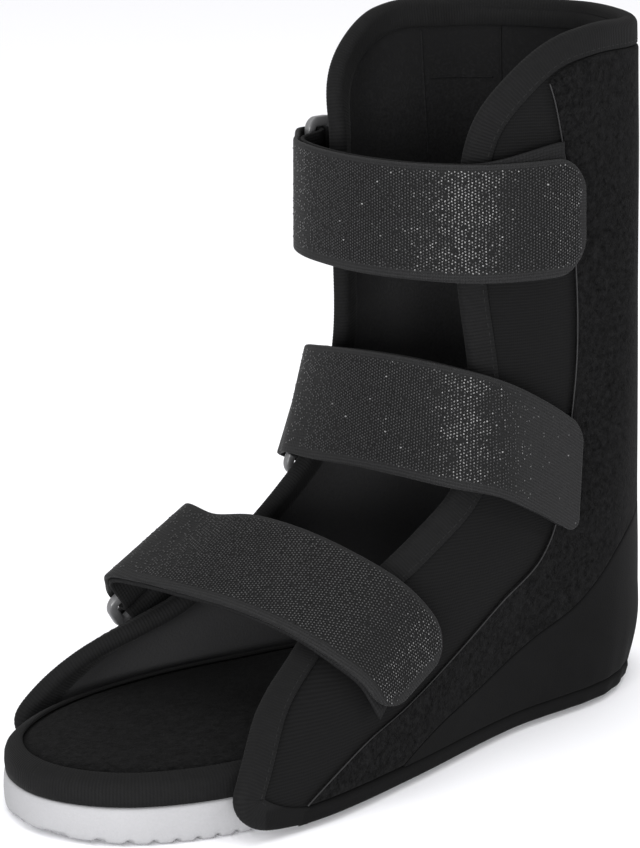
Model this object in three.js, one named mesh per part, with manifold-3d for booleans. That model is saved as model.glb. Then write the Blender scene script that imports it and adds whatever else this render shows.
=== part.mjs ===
// An open-front padded walking boot for a foot in a dressing or a light cast, closed by three hook straps.
//
// X points to the toes, Y to the wearer's left and Z up. The floor is Z = 0 and the origin lies under the
// ankle. Lengths are millimetres. The boot is alike on both sides of Y = 0, apart from its straps: each is
// sewn to the left wall, crosses the open front, turns round a ring on the right wall and comes back over itself.

import * as THREE from 'three';
import { mergeVertices } from 'three/addons/utils/BufferGeometryUtils.js';
import Module from 'manifold-3d';

const wasm = await Module();
wasm.setup();

// Driving dimensions
const GAP = 0.4; // air between neighbouring pieces
const WALL = 6.5; // padded wall of the upper
const WALL_AT_EDGE = 4.2; // the same wall where the binding squeezes it
const SQUEEZE_WIDTH = 16; // how far from the edge the squeeze is felt
const LASTED_HEIGHT = 40; // the wall also thins towards the hem, where it is sewn to the sole
const SKIN = 1.4; // cover fabrics over the padding
const HEM_SKIN = 2; // the folded strip along the hem
const HEM_Z = 2.5; // lowest line of the upper
const HEM_BAND_TOP = 9; // height of the folded strip's seam
const BINDING = 1.2; // ribbed tape folded over the upper's edge
const BINDING_WIDTH = 10;
const SOLE_THICKNESS = 15;
const TOE_SPRING = 1.6; // rise of the sole under the toe tip
const TOE_SPRING_FROM = 190; // X where that rise starts
const GROOVE = { first: -84, last: 188, pitch: 13, width: 3, depth: 1.8 }; // tread across the sole
const PLAIN_SHANK = 16; // half length of the smooth stretch under the ankle
const STRAP = 2; // webbing of the straps and of the ring tabs
const RING_BAR = 3.6; // square bar of the rings
const RING_SLOT = 49; // inner length of a ring
const RING_SPAN = 12; // from one long bar's middle to the other's

// Mesh density
const HALF_COLUMNS = 12;
const HEEL_DENSITY = 0.45; // column spacing at the back, as a share of an even one
const ROW_SPACING = 24;
const PROFILE_STEPS = 28;
const SOLE_STEPS = 36;

const table = (columns, rows) => {
  const names = columns.split(' ');
  return rows.map((row) => Object.fromEntries(names.map((name, i) => [name, row[i]])));
};

// Outer face of the padded upper: half sections at rising heights, each from the front edge round to the back
const UPPER_LEVELS = table('z frontX frontY foreX foreY sideX sideY rearX rearY heelX heelY turnX turnY backX', [
  [HEM_Z, 191, 68.5, 150, 69.5, 90, 61.5, 20, 48.5, -44, 44.5, -77, 23.5, -92.5],
  [24, 186, 66, 147, 68.5, 90, 62, 20, 51, -44.5, 47, -81.8, 26.5, -95.5],
  [45, 166, 52, 135, 61.5, 85, 60.5, 20, 52, -44.5, 47.8, -81.2, 26.8, -94.5],
  [61, 132, 35, 108, 51, 65, 57, 10, 53, -45, 48.2, -80, 27.3, -92],
  [81, 93, 39, 72, 50, 42, 54.5, 0, 53.5, -45.5, 48.4, -78, 28, -89],
  [116, 43, 44.5, 30, 49.8, 10, 53, -12, 52.5, -47, 49, -74, 30, -84.5],
  [154, 36, 40, 24, 47, 5, 52, -15, 52.5, -48, 49.5, -70.8, 31, -81.5],
  [199, 40, 35.5, 27, 45.5, 7, 53, -14, 54, -48.3, 50, -67, 31.2, -78],
  [238, 40, 37, 27, 48, 6, 56, -16, 56, -48, 50, -65.2, 30.3, -75.5],
  [275, 25, 50, 14, 55, 0, 58.5, -20, 57, -47.5, 49.2, -63.5, 29, -74],
  [297, -5, 57, -14, 58, -24, 57, -35, 54, -50, 46.5, -64, 28, -73.5],
]);
const FRONT_EXTENSION = 14; // the sections run on past the front edge, which the side profile then cuts

// Side profile of the upper's bound edge, from the toe corner over the instep and up the shin to the rim
const EDGE_PROFILE = table('x z', [
  [158, 1], [172, 3.8], [181, 7.2], [187, 12.5], [188.5, 18], [186, 24], [166, 45], [132, 61], [93, 81], [69, 95], [50, 109],
  [39, 124], [36, 154], [40, 199], [40, 238], [36, 260], [25, 275], [8, 286.5], [-12, 291], [-60, 291], [-130, 291],
]);

// Side profile of the piped seam where the velour starts, from the top corner to the hem near the toes
const VELOUR_SEAM = table('x z', [
  [18, 292], [9, 262], [-3, 220], [-10, 180], [-11, 152], [-7, 122], [-2, 95], [10, 75], [35, 62], [62, 48],
  [95, 34], [125, 25], [152, 13], [172, 0],
]);

// Side profile of the seam between the velour and the smooth heel cover, from the back to the hem
const HEEL_SEAM = table('x z', [
  [-130, 88], [-90, 84], [-60, 77], [-43, 69], [-30, 59], [-14, 49], [10, 41], [46, 29], [80, 19], [118, 2],
]);

// Half outline of the sole, from the toe tip to the back of the heel
const SOLE_OUTLINE = table('x half', [
  [235, 0], [231, 19], [219, 36.5], [197, 50.5], [166, 59], [123, 60], [80, 53], [42, 45.5], [-1, 42.5],
  [-40, 38.5], [-65, 26.5], [-79.5, 14.5], [-87, 0],
]);

// Rails of the straps: upper and lower border of the band between the two layers, from the free end to the ring.
// The returning layer reaches the rails' start, with corners of a given radius. The layer beneath it starts where
// it is sewn down, with its end turned up by a small rise. A tab runs the same way on the right wall, from its
// own sewn end towards the ring.
const RAIL_COLUMNS = 'upX upY upZ lowX lowY lowZ';
const STRAPS = {
  top: {
    corner: 16,
    sewn: 9,
    rise: 6,
    rails: table(RAIL_COLUMNS, [
      [-2.5, 62.8, 242, -5, 61.8, 194],
      [24, 60, 242, 22, 59.5, 194],
      [44, 48, 241.5, 43, 48, 194],
      [56, 26, 241, 55, 26, 194],
      [60, 2, 241, 60, 2, 194],
      [58, -20, 241, 58, -20, 194],
      [54, -38, 241.5, 54, -38, 194.5],
      [46.5, -50.5, 241.5, 46.5, -50.5, 195],
      [31, -60, 242.5, 31, -60, 195],
    ]),
    tab: table(RAIL_COLUMNS, [
      [-26, -61.2, 242, -26, -60, 194.5],
      [-7, -63.6, 242, -7, -62.4, 194.5],
    ]),
  },
  middle: {
    corner: 8,
    sewn: 9,
    rise: 0,
    rails: table(RAIL_COLUMNS, [
      [-8, 59.5, 129, -5, 60.3, 83.5],
      [16, 58.5, 144, 20, 61, 97.5],
      [37, 53.5, 155, 40, 58.5, 107.5],
      [48.5, 42, 159.5, 54, 46.5, 111.5],
      [55, 22, 161.5, 59, 22, 113],
      [57, 0, 161, 61, -2, 113],
      [54, -22, 158.5, 60, -25, 111],
      [46.5, -43.5, 154.5, 55.8, -48.3, 109],
      [27, -58, 143.5, 45, -58, 103],
    ]),
    tab: table(RAIL_COLUMNS, [
      [-25, -58.8, 116.5, -6.5, -60.5, 74.5],
      [-8, -60.5, 124, 10.5, -62, 82],
    ]),
  },
  lower: {
    corner: 15,
    sewn: 13,
    rise: 0,
    rails: table(RAIL_COLUMNS, [
      [73, 64.3, 53, 117, 71.2, 34],
      [82, 60, 69.5, 124, 66.5, 49],
      [89, 53, 80, 129, 57, 56.5],
      [96, 35, 89, 134.5, 39, 65],
      [102, 10, 95.5, 140, 12, 70.5],
      [106, -14, 97, 144, -14, 72],
      [108.5, -35, 93.6, 147, -37, 72.5],
      [108, -51, 94.6, 147.5, -57, 70.2],
      [97.5, -61.5, 82.5, 134, -68.5, 56],
    ]),
    tab: table(RAIL_COLUMNS, [
      [73, -68, 45, 109.5, -74, 18.5],
      [80, -67, 53.5, 116, -74, 27],
    ]),
  },
};

// Smooth curves

const smoothstep = (t) => {
  const c = Math.min(Math.max(t, 0), 1);
  return c * c * (3 - 2 * c);
};

// A value of one column of a table at a height between its rows, by a cubic with weighted central slopes
function columnAt(rows, key, name, at) {
  const last = rows.length - 1;
  const step = (i) => rows[i + 1][key] - rows[i][key];
  const rise = (i) => (rows[i + 1][name] - rows[i][name]) / step(i);
  const slope = (i) => {
    if (i === 0) return rise(0);
    if (i === last) return rise(last - 1);
    return (rise(i - 1) * step(i) + rise(i) * step(i - 1)) / (step(i) + step(i - 1));
  };
  let k = 0;
  while (k < last - 1 && at > rows[k + 1][key]) k += 1;
  const t = (at - rows[k][key]) / step(k);
  const rising = t * t * (3 - 2 * t);
  const leaving = t * (1 - t) * (1 - t) * step(k);
  const arriving = t * t * (t - 1) * step(k);
  return rows[k][name] * (1 - rising) + rows[k + 1][name] * rising + slope(k) * leaving + slope(k + 1) * arriving;
}

const curveThrough = (points) => new THREE.CatmullRomCurve3(points, false, 'centripetal');

// A side profile as evenly spaced points of a smooth curve
function profile(rows, steps = PROFILE_STEPS) {
  const curve = curveThrough(rows.map(({ x, z }) => new THREE.Vector3(x, 0, z)));
  return curve.getSpacedPoints(steps).map((p) => new THREE.Vector2(p.x, p.z));
}

// The same profile moved outwards, to the front and up, by a distance
function movedOut(points, distance) {
  return points.map((p, i) => {
    const before = points[Math.max(i - 1, 0)];
    const after = points[Math.min(i + 1, points.length - 1)];
    const along = after.clone().sub(before).normalize();
    return new THREE.Vector2(p.x + along.y * distance, p.y - along.x * distance);
  });
}

// Solids

function geometryOf(positions, indices) {
  const geometry = new THREE.BufferGeometry();
  geometry.setAttribute('position', new THREE.Float32BufferAttribute(positions, 3));
  geometry.setIndex(indices);
  return facingOut(geometry);
}

// Turns all triangles over when together they enclose a negative volume
function facingOut(geometry) {
  const index = geometry.index.array;
  const place = geometry.attributes.position;
  const [a, b, c] = [new THREE.Vector3(), new THREE.Vector3(), new THREE.Vector3()];
  let volume = 0;
  for (let i = 0; i < index.length; i += 3) {
    a.fromBufferAttribute(place, index[i]);
    b.fromBufferAttribute(place, index[i + 1]);
    c.fromBufferAttribute(place, index[i + 2]);
    volume += a.dot(b.cross(c));
  }
  if (volume < 0) {
    for (let i = 0; i < index.length; i += 3) {
      [index[i], index[i + 1]] = [index[i + 1], index[i]];
    }
  }
  return geometry;
}

// The closed solid between two grids of points, which are matched row by row and column by column
function solidBetween(front, rear) {
  const rows = front.length;
  const columns = front[0].length;
  const positions = [front, rear].flatMap((grid) => grid.flatMap((row) => row.flatMap((p) => p.toArray())));
  const at = (side, r, c) => (side * rows + r) * columns + c;
  const indices = [];
  const quad = (a, b, c, d) => indices.push(a, b, c, a, c, d);
  for (let r = 0; r < rows - 1; r += 1) {
    for (let c = 0; c < columns - 1; c += 1) {
      quad(at(0, r, c), at(0, r, c + 1), at(0, r + 1, c + 1), at(0, r + 1, c));
      indices.push(at(1, r, c), at(1, r + 1, c + 1), at(1, r, c + 1));
      indices.push(at(1, r, c), at(1, r + 1, c), at(1, r + 1, c + 1));
    }
    quad(at(0, r, 0), at(0, r + 1, 0), at(1, r + 1, 0), at(1, r, 0));
    quad(at(0, r + 1, columns - 1), at(0, r, columns - 1), at(1, r, columns - 1), at(1, r + 1, columns - 1));
  }
  for (let c = 0; c < columns - 1; c += 1) {
    quad(at(0, 0, c + 1), at(0, 0, c), at(1, 0, c), at(1, 0, c + 1));
    quad(at(0, rows - 1, c), at(0, rows - 1, c + 1), at(1, rows - 1, c + 1), at(1, rows - 1, c));
  }
  return geometryOf(positions, indices);
}

// The closed solid of a stack of rings of points, capped flat at both ends
function solidOfRings(rings) {
  const sides = rings[0].length;
  const positions = rings.flatMap((ring) => ring.flatMap((p) => p.toArray()));
  const indices = [];
  for (let r = 0; r < rings.length - 1; r += 1) {
    for (let s = 0; s < sides; s += 1) {
      const next = (s + 1) % sides;
      const [a, b] = [r * sides + s, r * sides + next];
      indices.push(a, b, b + sides, a, b + sides, a + sides);
    }
  }
  const flat = rings[0].map((p) => new THREE.Vector2(p.x, p.y));
  const top = (rings.length - 1) * sides;
  for (const [i, j, k] of THREE.ShapeUtils.triangulateShape(flat, [])) {
    indices.push(i, k, j, top + i, top + j, top + k);
  }
  return geometryOf(positions, indices);
}

// The closed solid of a section carried round a closed loop: rings[i] is the section at stop i
function solidOfLoop(rings) {
  const sides = rings[0].length;
  const positions = rings.flatMap((ring) => ring.flatMap((p) => p.toArray()));
  const indices = [];
  rings.forEach((ring, r) => {
    const ahead = (r + 1) % rings.length;
    for (let s = 0; s < sides; s += 1) {
      const next = (s + 1) % sides;
      const [a, b, c, d] = [r * sides + s, r * sides + next, ahead * sides + next, ahead * sides + s];
      indices.push(a, b, c, a, c, d);
    }
  });
  return geometryOf(positions, indices);
}

// Cutting and joining

function manifoldOf(geometry) {
  const bare = geometry.clone();
  bare.deleteAttribute('normal');
  bare.deleteAttribute('uv');
  const merged = mergeVertices(bare);
  const vertProperties = new Float32Array(merged.attributes.position.array);
  const triVerts = new Uint32Array(merged.index.array);
  return new wasm.Manifold(new wasm.Mesh({ numProp: 3, vertProperties, triVerts }));
}

function geometryFrom(solid) {
  const mesh = solid.getMesh();
  const geometry = new THREE.BufferGeometry();
  geometry.setAttribute('position', new THREE.Float32BufferAttribute(mesh.vertProperties, 3));
  geometry.setIndex([...mesh.triVerts]);
  return geometry;
}

const HALF_ACROSS = 120; // well past both walls

// The prism over a side outline, right across the boot
function prism(outline) {
  const shape = new THREE.Shape(outline);
  const geometry = new THREE.ExtrudeGeometry(shape, { depth: 2 * HALF_ACROSS, bevelEnabled: false });
  geometry.rotateX(Math.PI / 2);
  geometry.translate(0, HALF_ACROSS, 0);
  return manifoldOf(geometry);
}

const FAR_BACK = -130;
const FAR_FRONT = 260;
const FAR_DOWN = -20;
const corner = (x, z) => new THREE.Vector2(x, z);

// The prism behind and below a profile that runs from the toes up to the back
function prismBehind(points) {
  return prism([...points, corner(FAR_BACK, FAR_DOWN), corner(points[0].x, FAR_DOWN)]);
}

// The upper and its covers

function sectionAt(z) {
  const value = (name) => columnAt(UPPER_LEVELS, 'z', name, z);
  const stops = ['front', 'fore', 'side', 'rear', 'heel', 'turn'];
  const half = stops.map((stop) => new THREE.Vector3(value(`${stop}X`), value(`${stop}Y`), z));
  const ahead = half[0].clone().sub(half[1]).setLength(FRONT_EXTENSION).add(half[0]);
  half.unshift(ahead);
  const mirrored = half.map((p) => new THREE.Vector3(p.x, -p.y, z)).reverse();
  return curveThrough([...half, new THREE.Vector3(value('backX'), 0, z), ...mirrored]);
}

const edge = profile(EDGE_PROFILE);

function distanceToEdge(p) {
  return Math.min(...edge.map((e) => Math.hypot(e.x - p.x, e.y - p.z)));
}

function upperGrid() {
  const heights = UPPER_LEVELS.slice(0, -1).flatMap(({ z }, i) => {
    const rise = UPPER_LEVELS[i + 1].z - z;
    const count = Math.ceil(rise / ROW_SPACING);
    return Array.from({ length: count }, (_, k) => z + (k * rise) / count);
  });
  heights.push(UPPER_LEVELS.at(-1).z);
  const stops = Array.from({ length: 2 * HALF_COLUMNS + 1 }, (_, c) => {
    const side = c / HALF_COLUMNS - 1;
    return 0.5 + 0.5 * side * (HEEL_DENSITY + (1 - HEEL_DENSITY) * Math.abs(side));
  });
  const points = heights.map((z) => {
    const section = sectionAt(z);
    return stops.map((u) => section.getPointAt(u));
  });
  const normals = points.map((row, r) => row.map((p, c) => {
    const above = points[Math.min(r + 1, points.length - 1)][c];
    const below = points[Math.max(r - 1, 0)][c];
    const ahead = row[Math.min(c + 1, row.length - 1)];
    const behind = row[Math.max(c - 1, 0)];
    return behind.clone().sub(ahead).cross(above.clone().sub(below)).normalize().negate();
  }));
  const thickness = points.map((row) => row.map((p) => {
    const share = smoothstep(distanceToEdge(p) / SQUEEZE_WIDTH) * smoothstep(p.z / LASTED_HEIGHT);
    return WALL_AT_EDGE + (WALL - WALL_AT_EDGE) * share;
  }));
  return { points, normals, thickness };
}

const upper = upperGrid();

// The upper's outer face moved out by a distance; the hem keeps its height
function outerFace(distance) {
  return upper.points.map((row, r) => row.map((p, c) => {
    const moved = p.clone().addScaledVector(upper.normals[r][c], distance);
    if (r === 0) moved.z = HEM_Z;
    return moved;
  }));
}

// The upper's inner face moved in by a distance
function innerFace(distance) {
  return upper.points.map((row, r) => row.map((p, c) => {
    const moved = p.clone().addScaledVector(upper.normals[r][c], -upper.thickness[r][c] - distance);
    if (r === 0) moved.z = HEM_Z;
    return moved;
  }));
}

const wallGrownBy = (distance) => manifoldOf(solidBetween(outerFace(distance), innerFace(distance)));
const coverOf = (thickness) => manifoldOf(solidBetween(outerFace(GAP + thickness), outerFace(GAP)));
const insideBinding = prismBehind(movedOut(edge, -BINDING_WIDTH - GAP));
const hemCut = (z) => (
  prism([corner(FAR_BACK, FAR_DOWN), corner(FAR_FRONT, FAR_DOWN), corner(FAR_FRONT, z), corner(FAR_BACK, z)])
);
// The prism below the heel seam, lowered by a distance
const belowHeelSeam = (drop) => prism([
  ...profile(HEEL_SEAM.map(({ x, z }) => ({ x, z: z - drop }))),
  corner(HEEL_SEAM.at(-1).x, FAR_DOWN),
  corner(FAR_BACK, FAR_DOWN),
]);

function paddedUpper() {
  return geometryFrom(wallGrownBy(0).intersect(prismBehind(edge)));
}

// A tape of C section: the grown wall near its edge, less the wall itself
function edgeBinding() {
  const whole = wallGrownBy(GAP + BINDING).intersect(prismBehind(movedOut(edge, GAP + BINDING)));
  const filled = wallGrownBy(GAP).intersect(prismBehind(movedOut(edge, GAP)));
  return geometryFrom(whole.subtract(filled).subtract(prismBehind(movedOut(edge, -BINDING_WIDTH))));
}

function velourPanel() {
  const seam = profile(VELOUR_SEAM).reverse();
  const behindSeam = prism([...seam, corner(FAR_BACK, seam.at(-1).y), corner(FAR_BACK, FAR_DOWN)]);
  const panel = coverOf(SKIN).intersect(behindSeam).intersect(insideBinding);
  return geometryFrom(panel.subtract(belowHeelSeam(0)).subtract(hemCut(HEM_BAND_TOP + GAP)));
}

function heelCover() {
  return geometryFrom(coverOf(SKIN).intersect(belowHeelSeam(GAP)).subtract(hemCut(HEM_BAND_TOP + GAP)));
}

function hemBand() {
  return geometryFrom(coverOf(HEM_SKIN).intersect(hemCut(HEM_BAND_TOP)).intersect(insideBinding));
}

// The sole and the footbed

function soleLoop() {
  const half = SOLE_OUTLINE.map(({ x, half: y }) => new THREE.Vector3(x, y, 0));
  const other = half.slice(1, -1).map((p) => new THREE.Vector3(p.x, -p.y, 0)).reverse();
  const curve = new THREE.CatmullRomCurve3([...half, ...other], true, 'centripetal');
  return curve.getSpacedPoints(SOLE_STEPS).slice(0, -1);
}

const soleEdge = soleLoop();

// The sole's outline drawn in by a distance, at a height
function soleRing(inset, z) {
  return soleEdge.map((p, i) => {
    const before = soleEdge.at(i - 1);
    const after = soleEdge[(i + 1) % soleEdge.length];
    const along = after.clone().sub(before).normalize();
    return new THREE.Vector3(p.x - along.y * inset, p.y + along.x * inset, z);
  });
}

// Rounded edge of the sole, from its floor side up
const SOLE_EDGE = table('inset z', [[2.6, 0], [0.8, 0.9], [0, 3], [0, SOLE_THICKNESS - 1], [0.8, SOLE_THICKNESS]]);

function outsole() {
  const rise = (x) => TOE_SPRING * Math.max(0, (x - TOE_SPRING_FROM) / (SOLE_OUTLINE[0].x - TOE_SPRING_FROM)) ** 2;
  const rings = SOLE_EDGE.map(({ inset, z }) => {
    const share = 1 - z / SOLE_THICKNESS;
    return soleRing(inset, z).map((p) => p.setZ(z + share * rise(p.x)));
  });
  let body = manifoldOf(solidOfRings(rings));
  for (let x = GROOVE.first; x <= GROOVE.last; x += GROOVE.pitch) {
    if (Math.abs(x) > PLAIN_SHANK) {
      const cut = new THREE.BoxGeometry(GROOVE.width, 2 * HALF_ACROSS, 2 * GROOVE.depth).translate(x, 0, 0);
      body = body.subtract(manifoldOf(cut));
    }
  }
  return geometryFrom(body);
}

const FOOTBED_Z = SOLE_THICKNESS + GAP;

// Half section of the footbed pad, whose top swells from its squeezed edge to the middle
const PAD_SECTION = table('inset height', [[2, 0], [2, 6.2], [3.2, 7.9], [7.4, 9.7], [20, 11.8]]);

function footbed() {
  return solidOfRings(PAD_SECTION.map(({ inset, height }) => soleRing(inset, FOOTBED_Z + height)));
}

// Section of the tape over the footbed's edge: up its side, a little way over its top and back beneath
const PAD_TAPE_SECTION = table('inset height', [
  [0.2, 0], [0.2, 7], [2, 9.8], [7.4, 11.8], [7.2, 10.4], [3, 8.5], [1.6, 6.4], [1.6, 0],
]);

function footbedBinding() {
  const rings = PAD_TAPE_SECTION.map(({ inset, height }) => soleRing(inset, FOOTBED_Z + height));
  return solidOfLoop(soleEdge.map((_, i) => rings.map((ring) => ring[i])));
}

// The straps

const middleOf = ({ upX, upY, upZ, lowX, lowY, lowZ }) => (
  new THREE.Vector3(upX + lowX, upY + lowY, upZ + lowZ).multiplyScalar(0.5)
);

// Rails as a function: the two borders, the way along and the way outwards, at a length from the rails' start
function bandAlong(rails) {
  const up = curveThrough(rails.map((r) => new THREE.Vector3(r.upX, r.upY, r.upZ)));
  const low = curveThrough(rails.map((r) => new THREE.Vector3(r.lowX, r.lowY, r.lowZ)));
  const middle = curveThrough(rails.map(middleOf));
  const length = middle.getLength();
  const at = (reach) => {
    const t = middle.getUtoTmapping(0, Math.min(reach, length));
    const [a, b] = [up.getPoint(t), low.getPoint(t)];
    const along = up.getTangent(t).add(low.getTangent(t)).normalize();
    const out = along.clone().cross(b.clone().sub(a)).normalize();
    return { a, b, along, out };
  };
  return { at, length };
}

const LAYER_OFFSET = STRAP / 2 + GAP; // from the band's middle to the middle of each layer
const TURN_RADIUS = RING_BAR * Math.SQRT1_2 + GAP + STRAP / 2;
const OPENING_LENGTH = 16; // length over which the two layers part before the ring
const RISE_LENGTH = 45; // length over which the sewn end's rise dies out
const TURN_STEPS = 4;
const STRAP_STEPS = 13; // stops along each layer of a strap
const TAB_STEPS = 4; // stops along each layer of a ring tab
const CORNER_STOPS = [1, 0.45, 0.12, 0]; // stops along a rounded corner, as shares of its radius
const ACROSS = [0, 0.15, 0.85, 1]; // stops across the webbing

// Webbing doubled back round a bar at the end of its rails
function doubledStrap(rails, { corner: radius, sewn, rise }, steps) {
  const { at, length } = bandAlong(rails);
  const opened = (reach) => (
    LAYER_OFFSET + (TURN_RADIUS - LAYER_OFFSET) * smoothstep(1 + (reach - length) / OPENING_LENGTH)
  );
  const stop = (reach, forward, outward, face) => {
    const { a, b, along, out } = at(reach);
    const shift = along.clone().multiplyScalar(forward).addScaledVector(out, outward);
    const normal = along.clone().multiplyScalar(face[0]).addScaledVector(out, face[1]).normalize();
    return { a: a.add(shift), b: b.add(shift), normal };
  };
  const stops = [];
  for (let i = 0; i < steps; i += 1) {
    const reach = sewn + ((length - sewn) * i) / steps;
    const under = stop(reach, 0, -opened(reach), [0, -1]);
    const turned = under.a.clone().sub(under.b).setLength(rise * smoothstep(1 - (reach - sewn) / RISE_LENGTH));
    under.a.add(turned);
    under.b.add(turned);
    stops.push(under);
  }
  for (let i = 0; i <= TURN_STEPS; i += 1) {
    const angle = -Math.PI / 2 + (Math.PI * i) / TURN_STEPS;
    const [forward, outward] = [Math.cos(angle), Math.sin(angle)];
    stops.push(stop(length, TURN_RADIUS * forward, TURN_RADIUS * outward, [forward, outward]));
  }
  for (let i = steps - 1; i > 0; i -= 1) {
    const reach = radius + ((length - radius) * i) / steps;
    stops.push(stop(reach, 0, opened(reach), [0, 1]));
  }
  for (const share of radius ? CORNER_STOPS : [0]) {
    const free = stop(radius * share, 0, opened(radius * share), [0, 1]);
    const cut = radius * (1 - Math.sqrt(1 - (1 - share) ** 2)); // taken off each border by the rounded corner
    const inward = free.b.clone().sub(free.a).setLength(cut);
    free.a.add(inward);
    free.b.sub(inward);
    stops.push(free);
  }
  const face = (side) => stops.map(({ a, b, normal }) => ACROSS.map((share) => (
    a.clone().lerp(b, share).addScaledVector(normal, (side * STRAP) / 2)
  )));
  return solidBetween(face(1), face(-1));
}

// Where a ring lies: its first long bar in the strap's turn, its second towards the tab
function ringPlace(rails, tab) {
  const { at, length } = bandAlong(rails);
  const { a, b } = at(length);
  const lengthways = b.clone().sub(a).normalize();
  const across = middleOf(tab.at(-1)).sub(middleOf(rails.at(-1)));
  across.addScaledVector(lengthways, -across.dot(lengthways)).normalize();
  const facing = lengthways.clone().cross(across);
  return { a, b, across, basis: new THREE.Matrix4().makeBasis(lengthways, across, facing) };
}

// The tab's rails carried on to the ring's second bar
function tabRails(rails, tab) {
  const { a, b, across } = ringPlace(rails, tab);
  const [up, low] = [a, b].map((p) => p.clone().addScaledVector(across, RING_SPAN));
  return [...tab, { upX: up.x, upY: up.y, upZ: up.z, lowX: low.x, lowY: low.y, lowZ: low.z }];
}

function roundedRectangle(path, length, width, radius) {
  const [x, y] = [length / 2 - radius, width / 2 - radius];
  path.moveTo(-x, -width / 2);
  path.absarc(x, -y, radius, -Math.PI / 2, 0);
  path.absarc(x, y, radius, 0, Math.PI / 2);
  path.absarc(-x, y, radius, Math.PI / 2, Math.PI);
  path.absarc(-x, -y, radius, Math.PI, 1.5 * Math.PI);
  return path;
}

function ringFrame() {
  const shape = roundedRectangle(new THREE.Shape(), RING_SLOT + 2 * RING_BAR, RING_SPAN + RING_BAR, RING_BAR);
  shape.holes.push(roundedRectangle(new THREE.Path(), RING_SLOT, RING_SPAN - RING_BAR, RING_BAR / 3));
  const geometry = new THREE.ExtrudeGeometry(shape, { depth: RING_BAR, bevelEnabled: false, curveSegments: 2 });
  geometry.translate(0, RING_SPAN / 2, -RING_BAR / 2);
  geometry.deleteAttribute('normal');
  geometry.deleteAttribute('uv');
  return mergeVertices(geometry);
}

// Assembly

const FINISHES = {
  padding: { color: 0x1d1d1e, roughness: 0.95, metalness: 0 },
  binding: { color: 0x272728, roughness: 0.85, metalness: 0 },
  velour: { color: 0x1a1a1b, roughness: 1, metalness: 0 },
  webbing: { color: 0x2c2c2d, roughness: 0.8, metalness: 0 },
  foam: { color: 0xc9c9ca, roughness: 0.7, metalness: 0 },
  plastic: { color: 0x2a2a2c, roughness: 0.35, metalness: 0 },
};

const boot = new THREE.Group();

function addPiece(name, geometry, finish) {
  const mesh = new THREE.Mesh(geometry, new THREE.MeshStandardMaterial(FINISHES[finish]));
  mesh.name = name;
  boot.add(mesh);
  return mesh;
}

addPiece('outsole', outsole(), 'foam');
addPiece('footbed', footbed(), 'velour');
addPiece('footbed_binding', footbedBinding(), 'binding');
addPiece('padded_upper', paddedUpper(), 'padding');
addPiece('edge_binding', edgeBinding(), 'binding');
addPiece('velour_panel', velourPanel(), 'velour');
addPiece('heel_cover', heelCover(), 'padding');
addPiece('hem_band', hemBand(), 'padding');

const SQUARE_END = { corner: 0, sewn: 0, rise: 0 };

for (const [name, { rails, tab, ...ends }] of Object.entries(STRAPS)) {
  addPiece(`strap_${name}`, doubledStrap(rails, ends, STRAP_STEPS), 'webbing');
  addPiece(`ring_tab_${name}`, doubledStrap(tabRails(rails, tab), SQUARE_END, TAB_STEPS), 'webbing');
  const { basis } = ringPlace(rails, tab);
  const ring = addPiece(`ring_${name}`, ringFrame(), 'plastic');
  ring.position.copy(middleOf(rails.at(-1)));
  ring.quaternion.setFromRotationMatrix(basis);
}

export default boot;
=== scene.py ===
# %% [markdown]
# # A padded walking boot with an open front
# A post-operative boot is sewn, not moulded: a thick soft wall wraps heel and leg, tape binds its edge,
# velour and knit cover it, and three straps close it over a foot in a dressing. This lesson gives the packed
# CAD solids their real looks. All lengths are metres, in the CAD's own frame: X to the toes, Y to the
# wearer's left, Z up.

# %% Load the frame
import math

import bmesh
import bpy
import numpy as np
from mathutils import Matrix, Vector


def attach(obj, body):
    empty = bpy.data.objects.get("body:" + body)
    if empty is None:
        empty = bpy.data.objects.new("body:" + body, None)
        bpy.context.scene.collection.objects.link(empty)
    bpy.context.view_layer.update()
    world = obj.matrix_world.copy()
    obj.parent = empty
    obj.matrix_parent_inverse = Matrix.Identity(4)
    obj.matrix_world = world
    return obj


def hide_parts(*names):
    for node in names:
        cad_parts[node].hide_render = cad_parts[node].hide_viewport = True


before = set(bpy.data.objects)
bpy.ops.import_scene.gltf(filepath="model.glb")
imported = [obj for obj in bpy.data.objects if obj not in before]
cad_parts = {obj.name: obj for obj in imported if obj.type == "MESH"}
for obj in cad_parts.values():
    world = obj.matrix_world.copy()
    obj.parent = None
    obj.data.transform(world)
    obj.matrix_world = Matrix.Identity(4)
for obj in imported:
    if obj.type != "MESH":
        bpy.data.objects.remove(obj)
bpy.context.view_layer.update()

scene = bpy.context.scene

# %% [markdown]
# ## The camera comes first
# A long lens keeps the verticals upright. The photograph looks at the boot's front left corner from 1.3 m
# away, a little above it. With the camera fixed first, each piece can be compared with the photograph as soon
# as it is made.

# %% Camera
PHOTO_HEIGHT = 848  # pixels
FOCAL_PIXELS = 3234  # the lens's focal length, in the photograph's pixels
FILM = 36  # the film's longer side, in millimetres as Blender has it
VIEW_TURN = math.radians(46.16)  # from straight ahead of the toes round towards the left side
VIEW_RISE = math.radians(13.94)  # above the floor
DISTANCE = 1.305
LOOK_AT = Vector((0.0822, -0.0007, 0.1343))

flat_way = Vector((math.cos(VIEW_TURN), math.sin(VIEW_TURN), 0))
to_camera = flat_way * math.cos(VIEW_RISE) + Vector((0, 0, math.sin(VIEW_RISE)))
camera = bpy.data.objects.new("camera", bpy.data.cameras.new("camera"))
camera.data.sensor_width = FILM
camera.data.lens = FOCAL_PIXELS * FILM / PHOTO_HEIGHT
camera.location = LOOK_AT + DISTANCE * to_camera
camera.rotation_euler = to_camera.to_track_quat("Z", "Y").to_euler()
scene.collection.objects.link(camera)
scene.camera = camera
print("lens", round(camera.data.lens, 1), "mm, at", [round(x, 3) for x in camera.location])

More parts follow.
